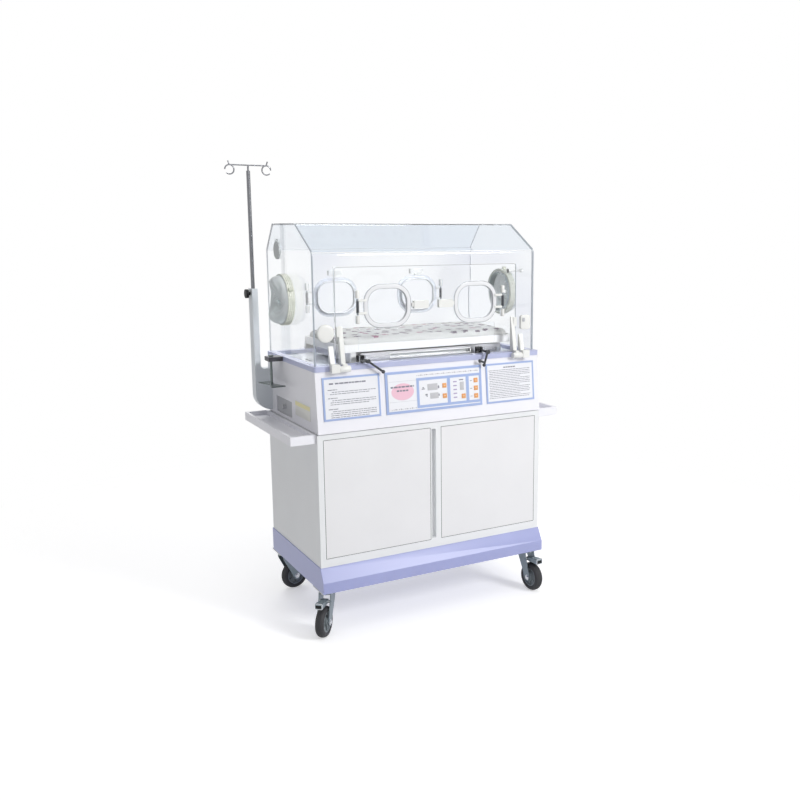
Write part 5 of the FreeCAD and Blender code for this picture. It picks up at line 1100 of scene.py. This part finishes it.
def swell(piece):
    # remesh, let cloth pressure round the pad, and keep each point within a cap of where it started
    p = pad
    bpy.context.view_layer.objects.active = piece
    piece.select_set(True)
    remesh = piece.modifiers.new("even", "REMESH")
    remesh.mode, remesh.voxel_size = "VOXEL", p["voxel"]
    applyModifier(piece, remesh)
    start = meshPoints(piece.data)
    cloth = piece.modifiers.new("cloth", "CLOTH")
    cloth.settings.use_pressure = True
    cloth.settings.uniform_pressure_force = p["pressure"]
    cloth.settings.effector_weights.gravity = 0
    cloth.settings.tension_stiffness = cloth.settings.compression_stiffness = 12
    cloth.collision_settings.use_collision = False
    scene = bpy.context.scene
    cloth.point_cache.frame_start, cloth.point_cache.frame_end = 1, p["frames"]
    for frameNumber in range(1, p["frames"] + 1):
        scene.frame_set(frameNumber)
    applyModifier(piece, cloth)
    scene.frame_set(1)
    after = meshPoints(piece.data)
    move = after - start
    far = np.linalg.norm(move, axis=1, keepdims=True)
    move *= np.minimum(1, p["cap"] / np.maximum(far, 1e-9))
    placedPoints = start + move
    placedPoints[:, 2] = np.maximum(placedPoints[:, 2], p["low"][2] * mm - 0.0005)
    piece.data.vertices.foreach_set("co", placedPoints.ravel())
    piece.data.update()
    return round(float(far.max()), 4)


def applyModifier(piece, modifier):
    with bpy.context.temp_override(object=piece, active_object=piece, selected_objects=[piece]):
        bpy.ops.object.modifier_apply(modifier=modifier.name)


buildMattress()
print("mattress made")


# softened edges on the plain sheet metal and moulded nodes

softEdges = {
    1.6: ["cabinet_shell", "cabinet_door_left", "cabinet_door_right", "plinth"],
    1.2: ["housing_shell", "side_trays", "deck_rim", "pole_arm", "access_hinges", "access_straps",
          "front_catches", "back_catches"],
    0.6: ["deck_panel", "control_frame", "text_panels", "service_hatch", "rod_bracket", "bed_frame",
          "mattress_tray",
          "caster_plates", "brake_pedal_front_left", "brake_pedal_front_right"],
}


def softenNodes():
    for width, names in softEdges.items():
        for name in names:
            weld = nodes[name].modifiers.new("weld", "WELD")
            weld.merge_threshold = 1e-5
            edge = nodes[name].modifiers.new("soft edges", "BEVEL")
            edge.width, edge.segments = width * mm, 2
            edge.limit_method, edge.angle_limit = "ANGLE", math.radians(35)
            edge.harden_normals = True


softenNodes()


# hood: a white bead in the lower front bend as a painted highlight, pale grey fine lines along the other
# bends as painted shade

hoodLines = {
    "half": 401.5, "bright": (-200.1, 1211.4, 1.3), "fine": ((-57.8, 1299.1), (153.9, 1297.8),
            (223.7, 1212.5)), "fineRound": 0.8,
    "corners": [(-203, 869), (-203, 1213), (-58, 1300), (155, 1300), (225, 1213), (225, 869)], "round": 22,
    "plate": 5, "end": 402,
}

doorLine = {"half": 329.2, "low": 870.8, "top": 1167.2, "corner": 8.2, "y": -202.9, "line": 0.75}


def hoodEdge(low, high):
    # the end plates' outline as a run of points, its bends as arcs of radius r; low and high choose the
    # corners used
    h = hoodLines
    corners = np.array(h["corners"], float)[low:high]
    run = [corners[0]]
    for before, here, after in zip(corners[:-2], corners[1:-1], corners[2:]):
        a, b = (before - here) / np.linalg.norm(before - here), (after - here) / np.linalg.norm(after - here)
        half = math.acos(np.clip(np.dot(a, b), -1, 1)) / 2
        centre = here + (a + b) / np.linalg.norm(a + b) * h["round"] / math.sin(half)
        start, end = here + a * h["round"] / math.tan(half), here + b * h["round"] / math.tan(half)
        for t in np.linspace(0, 1, 8):
            spoke = start + (end - start) * t - centre
            run.append(centre + spoke / np.linalg.norm(spoke) * h["round"])
    run.append(corners[-1])
    return np.array(run)


def buildHoodEdges():
    # strips along the cut edges of the two end plates, grey in front and on top as painted shade, paler
    # behind as painted light
    h = hoodLines
    section = roundedOutline(h["plate"] + 0.3, 0.7, 0.3, 3)
    for side, sign in (("left", -1), ("right", 1)):
        for part, low, high, paint in (("front", 0, 4, "edgeShade"), ("back", 3, 6, "seamAndEdgeLight")):
            run = hoodEdge(low, high)
            path = np.concatenate([np.full((len(run), 1), sign * (h["end"] - h["plate"] / 2)), run], 1)
            addPiece(f"hood_edge_{part}_{side}", placed(carried(path, 1.0, shape=section)), paints[paint],
                     "hood")
        whole = hoodEdge(0, 6)
        path = np.concatenate([np.full((len(whole), 1), sign * (h["end"] - h["plate"])), whole], 1)
        seam = roundedOutline(0.8, h["plate"] + 0.3, 0.3, 3) - (0, h["plate"] / 2)
        addPiece(f"hood_seam_{side}", placed(carried(path, 1.0, shape=seam)), paints["seamAndEdgeLight"], "hood")
    # fine dark line in the gap round the access door, painted shade of the gap
    d = doorLine
    outline = roundedOutline(2 * d["half"], d["top"] - d["low"], d["corner"], 6)
    line = loopTube(outline, 0.0, d["line"], 8)
    addPiece("access_door_line", facing(line, (0, d["y"], (d["top"] + d["low"]) / 2), (0, -1, 0),
                                        (1, 0, 0)), paints["lineShade"],
             "access")


def buildHoodLines():
    h = hoodLines
    # the bead is a painted highlight of the lower front bend
    y, z, r = h["bright"]
    path = np.stack([np.linspace(-h["half"], h["half"], 24), np.full(24, y), np.full(24, z)], -1)
    addPiece("hood_bend_highlight", placed(carried(path, r, 12)), paints["bendHighlight"], "hood")
    # the fine lines' pale grey is painted shade along the bends
    fine = []
    for y, z in h["fine"]:
        path = np.stack([np.linspace(-h["half"], h["half"], 24), np.full(24, y), np.full(24, z)], -1)
        fine.append(carried(path, h["fineRound"], 10))
    addPiece("hood_bend_shade_lines", placed(joined(*fine)), paints["bendLineShade"], "hood")


buildHoodLines()
buildHoodEdges()


# door knobs: a smooth disc on the left, a rounded block with a grip on the right

knob = {"x": 364, "y": -203.3, "z": 967, "round": 28, "thick": 9.0, "blockWide": 40, "blockTall": 50}


def buildKnobs():
    k = knob
    r, h = k["round"], k["thick"]
    disc = turned([(0, 0), (r - 1.5, 0), (r, 1.5), (r, h - 3.5), (r - 1, h - 1.7), (r - 3.2, h - 0.6),
                   (r * 0.6, h), (0, h)], 72)
    addPiece("knob_disc_left", facing(disc, (-k["x"], k["y"], k["z"]), (0, -1, 0), (1, 0, 0)),
             paints["creamPlastic"],
             "door_knob_left", replaces="door_knob_left")
    base = slab(roundedOutline(k["blockWide"], k["blockTall"], 9, 8), 12, 3.0, 5)
    addPiece("knob_block_right", facing(base, (k["x"], k["y"], k["z"]), (0, -1, 0), (1, 0, 0)),
             paints["creamPlastic"],
             "door_knob_right", replaces="door_knob_right")
    grip = shifted(slab(roundedOutline(9, 13, 2, 5), 3.2, 0.8), (-9, 9, 11.6))
    addPiece("knob_grip_right", facing(grip, (k["x"], k["y"], k["z"]), (0, -1, 0), (1, 0, 0)),
             paints["greyPlastic"],
             "door_knob_right")


buildKnobs()


# bed: bright rim round the slot of the rail, dark back of the slot, dark housings of the two lever shafts

bedTrim = {
    "guardLow": (-240.0, -169.2, 899.5), "guardHigh": (266.0, -166.2, 970.0), "guardRound": 6.0,
    "slotLeft": -130, "slotRight": 170, "slotLow": 872.5, "slotHigh": 884.5, "railFront": -168,
    "slotFloor": -153,
    "rim": 1.5, "levers": (-240, 196), "front": -190.6, "back": -174.6, "half": 11.7, "low": 856,
    "high": 889.8,
}


def buildBedTrim():
    b = bedTrim
    outline = roundedOutline(b["slotRight"] - b["slotLeft"] + 1.6, b["slotHigh"] - b["slotLow"] + 1.6, 2.5,
                             5)
    middle = ((b["slotLeft"] + b["slotRight"]) / 2, b["railFront"], (b["slotLow"] + b["slotHigh"]) / 2)
    addPiece("rail_slot_rim", facing(loopTube(outline, 0.2, b["rim"], 10), middle, (0, -1, 0), (1, 0, 0)),
             paints["capWhite"],
             "bed_frame")
    back = block(np.array((b["slotLeft"] + 0.6, b["slotFloor"] - 0.6, b["slotLow"] + 0.6)),
                 np.array((b["slotRight"] - 0.6, b["slotFloor"] + 0.2, b["slotHigh"] - 0.6)), 0.2, 1.0, 3,
                 "y")
    addPiece("rail_slot_back", placed(back), paints["zinc"], "bed_frame")
    guard = block(np.array(b["guardLow"]), np.array(b["guardHigh"]), 0.6, b["guardRound"], 6, "y")
    addPiece("guard_pane", placed(guard), paints["doorClear"], "bed_tray",
             replaces="bed_guard")
    covers = []
    for x in b["levers"]:
        covers.append(block(np.array((x - b["half"], b["front"], b["low"])),
                            np.array((x + b["half"], b["back"], b["high"])), 1.4, 3.0, 5, "y"))
        covers.append(toward(turned([(0, 0), (8.2, 0), (9, 0.8), (9, 3.2), (8.2, 4.0), (0, 4.0)], 32),
                             (x, b["front"] - 3.4, 878), (0, 1, 0)))
    addPiece("lever_housings", placed(joined(*covers)), paints["blackPlastic"], "cabinet")


buildBedTrim()
print("bed and hood trim made")


# cabinet: dark strips in the gaps round the two doors, painted shade of the gaps

doorGapShade = {"inner": 19.3, "outer": 392.5, "low": 256.0, "high": 640.5, "inset": 0.75, "round": 1.1,
            "corner": 1.2}


def buildDoorGapShade():
    s = doorGapShade
    front = cabinetFront + s["inset"]
    for side, sign in (("left", -1), ("right", 1)):
        wide, tall = s["outer"] - s["inner"] - 2 * s["inset"], s["high"] - s["low"] - 2 * s["inset"]
        outline = roundedOutline(wide, tall, s["corner"], 3)
        middle = (sign * (s["outer"] + s["inner"]) / 2, front, (s["low"] + s["high"]) / 2)
        # the strip in the gap is painted shade
        addPiece(f"door_gap_shade_{side}", facing(loopTube(outline, 0.0, s["round"], 8), middle, (0, -1, 0),
                                             (1, 0, 0)), paints["gapShade"],
                 "cabinet")


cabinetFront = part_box("cabinet_door_left")[0][1] / mm - workShift[1]
buildDoorGapShade()


# casters: rubber tyre with rounded shoulders and two fine grooves, grey ribbed hub, nuts, bearing ring

caster = {
    "x": 382, "y": 205, "trail": 35, "height": 50, "bore": 5.3, "hub": 33.5, "boss": 16, "bossHalf": 16.4,
    "web": 6.5,
    "ribs": 6, "nut": 6.6, "forkFace": 21, "ringRound": 25.6, "ringLow": 136.5, "ringHigh": 145.4,
    "turns": {"front_left": -132, "front_right": -85, "back_left": 11, "back_right": 120},
}


def tyreShape():
    # right half of the section as (radius, height), mirrored for the left half
    half = [(32, 11), (34, 12.6), (38, 13.7), (42, 14), (45, 13), (46.8, 11), (48.3, 8.4), (49.6, 5.4),
            (49.0, 5.0), (49.0, 4.4),
            (49.9, 4.0), (50, 0.8), (49.3, 0.5)]
    profile = half + [(r, -h) for r, h in half[::-1]]
    return ringTurned(profile, 96)


def hubShape():
    c = caster
    half = [(c["bore"], c["bossHalf"]), (c["boss"] - 2, c["bossHalf"]), (c["boss"], c["bossHalf"] - 1.4),
            (c["boss"] + 0.6, c["web"] + 1.2),
            (c["boss"] + 2, c["web"]), (27, c["web"]), (28.6, c["web"] + 1), (29.4, 11), (30.4, 12),
            (c["hub"], 12)]
    disc = ringTurned(half + [(r, -h) for r, h in half[::-1]], 72)
    ribs = []
    for k in range(c["ribs"]):
        for sign in (-1, 1):
            rib = block(np.array((c["boss"] - 1, -1.4, sign * (c["web"] - 1))),
                        np.array((30, 1.4, sign * 10.0)), 0.5, 0.6, 3, "x")
            ribs.append(spun(rib, k * tau / c["ribs"]))
    return joined(disc, *ribs)


def hexNut(across, tall):
    angle = np.arange(6) * tau / 6
    return slab(np.stack([across * np.cos(angle), across * np.sin(angle)], -1), tall, 0.7)


def buildCasters():
    c = caster
    tyre, hub = tyreShape(), hubShape()
    for name, degrees in c["turns"].items():
        a = math.radians(degrees)
        x = c["x"] * (1 if name.endswith("right") else -1)
        y = c["y"] * (1 if name.startswith("back") else -1)
        centre = (x + c["trail"] * math.cos(a), y + c["trail"] * math.sin(a), c["height"])
        axle = (-math.sin(a), math.cos(a), 0)
        addPiece(f"tyre_{name}", facing(tyre, centre, axle, (0, 0, 1)), paints["tyreRubber"],
                 f"wheel_{name}",
                 replaces=f"caster_wheel_{name}")
        addPiece(f"hub_{name}", facing(hub, centre, axle, (0, 0, 1)), paints["hubGrey"], f"wheel_{name}")
        nuts = []
        for sign in (-1, 1):
            out = np.array(axle) * sign
            nuts.append(toward(hexNut(c["nut"], 4.2), np.array(centre) + out * c["forkFace"], out,
                               (0, 0, 1)))
            nuts.append(toward(turned([(0, 0), (8.4, 0), (8.8, 0.4), (8.8, 1.0), (0, 1.0)], 32),
                               np.array(centre) + out * (c["forkFace"] - 0.1), out))
        ring = ringTurned([(c["ringRound"] + 1.6 * math.cos(k * tau / 12),
                            (c["ringLow"] + c["ringHigh"]) / 2 + 4.4 * math.sin(k * tau / 12))
                           for k in range(12)], 64)
        nuts.append(shifted(ring, (x, y, 0)))
        addPiece(f"fork_fittings_{name}", placed(joined(*nuts)), paints["chromeLight"], f"caster_{name}")


# brake pedals: a folded steel cover with a raised top, and a black plate in its open front as painted shade

pedal = {"x": 22, "z": 114, "half": 13, "low": 107.5, "back": 17, "front": 78, "backTop": 120.5,
         "frontTop": 127.5, "rows": 9}


def pedalShape():
    # the section across the pedal is a rounded box; its top rises along x from backTop to frontTop as a
    # straight line
    p = pedal
    x = np.linspace(p["back"], p["front"], p["rows"])
    t = (x - x[0]) / (x[-1] - x[0])
    loops = []
    for k, here in enumerate(x):
        high = p["backTop"] + (p["frontTop"] - p["backTop"]) * t[k]
        section = roundedOutline(2 * p["half"] * (0.86 + 0.14 * t[k]), high - p["low"], 2.6, 4)
        loops.append(np.stack([np.full(len(section), here), section[:, 0],
                               section[:, 1] + (high + p["low"]) / 2], -1))
    return stacked(np.array(loops))


def buildPedals():
    p, c = pedal, caster
    for name in ("front_left", "front_right"):
        a = math.radians(c["turns"][name])
        post = np.array((c["x"] * (1 if name.endswith("right") else -1), -c["y"], 0))
        tall = p["frontTop"] - p["low"]
        # the black plate in the open front is painted shade
        mouthShade = block(np.array((p["front"] - 1.0, -p["half"] + 3.4, p["low"] + 3.2)),
                      np.array((p["front"] + 0.35, p["half"] - 3.4, p["frontTop"] - 6.5)), 0.3, 2.0, 4, "x")
        lip = carried(np.concatenate([np.full((28, 1), p["front"]),
                                      roundedOutline(2 * p["half"] - 2, tall - 2, 2.4, 6)
                                      + (0, (p["frontTop"] + p["low"]) / 2)], 1), 1.0, 8, closed=True)
        pin = toward(turned([(0, -p["half"] - 5), (4.6, -p["half"] - 5), (5, -p["half"] - 4.6),
                             (5, p["half"] + 4.6), (4.6, p["half"] + 5),
                             (0, p["half"] + 5)], 28), (p["x"], 0, p["z"]), (0, 1, 0))
        ridges = [block(np.array((x, -p["half"] * 0.7, 0)), np.array((x + 2.4, p["half"] * 0.7, 1.6)), 0.6,
                        1.0, 4, "z") for x in (44, 52, 60, 68)]
        rise = (p["frontTop"] - p["backTop"]) / (p["front"] - p["back"])
        ridges = [shifted(ridge, (0, 0,
                                  p["backTop"] - 0.6 + rise * (ridge[0][:,
                                          0].mean() - p["back"]))) for ridge in ridges]
        for label, shape, paint, slot, stands in (("cover", joined(pedalShape(), *ridges), "forkZinc",
                                                   "zinc", f"brake_pedal_{name}"),
                                                  ("mouthShade", mouthShade, "blackPlastic", "black_plastic", ()),
                                                  ("lip", joined(lip, pin), "chromeLight", "steel", ())):
            addPiece(f"pedal_{label}_{name}", placed(shifted(spun(shape, a), post)), paints[paint],
                     f"brake_pedal_{name}", replaces=stands)


buildCasters()
buildPedals()
print("casters made")
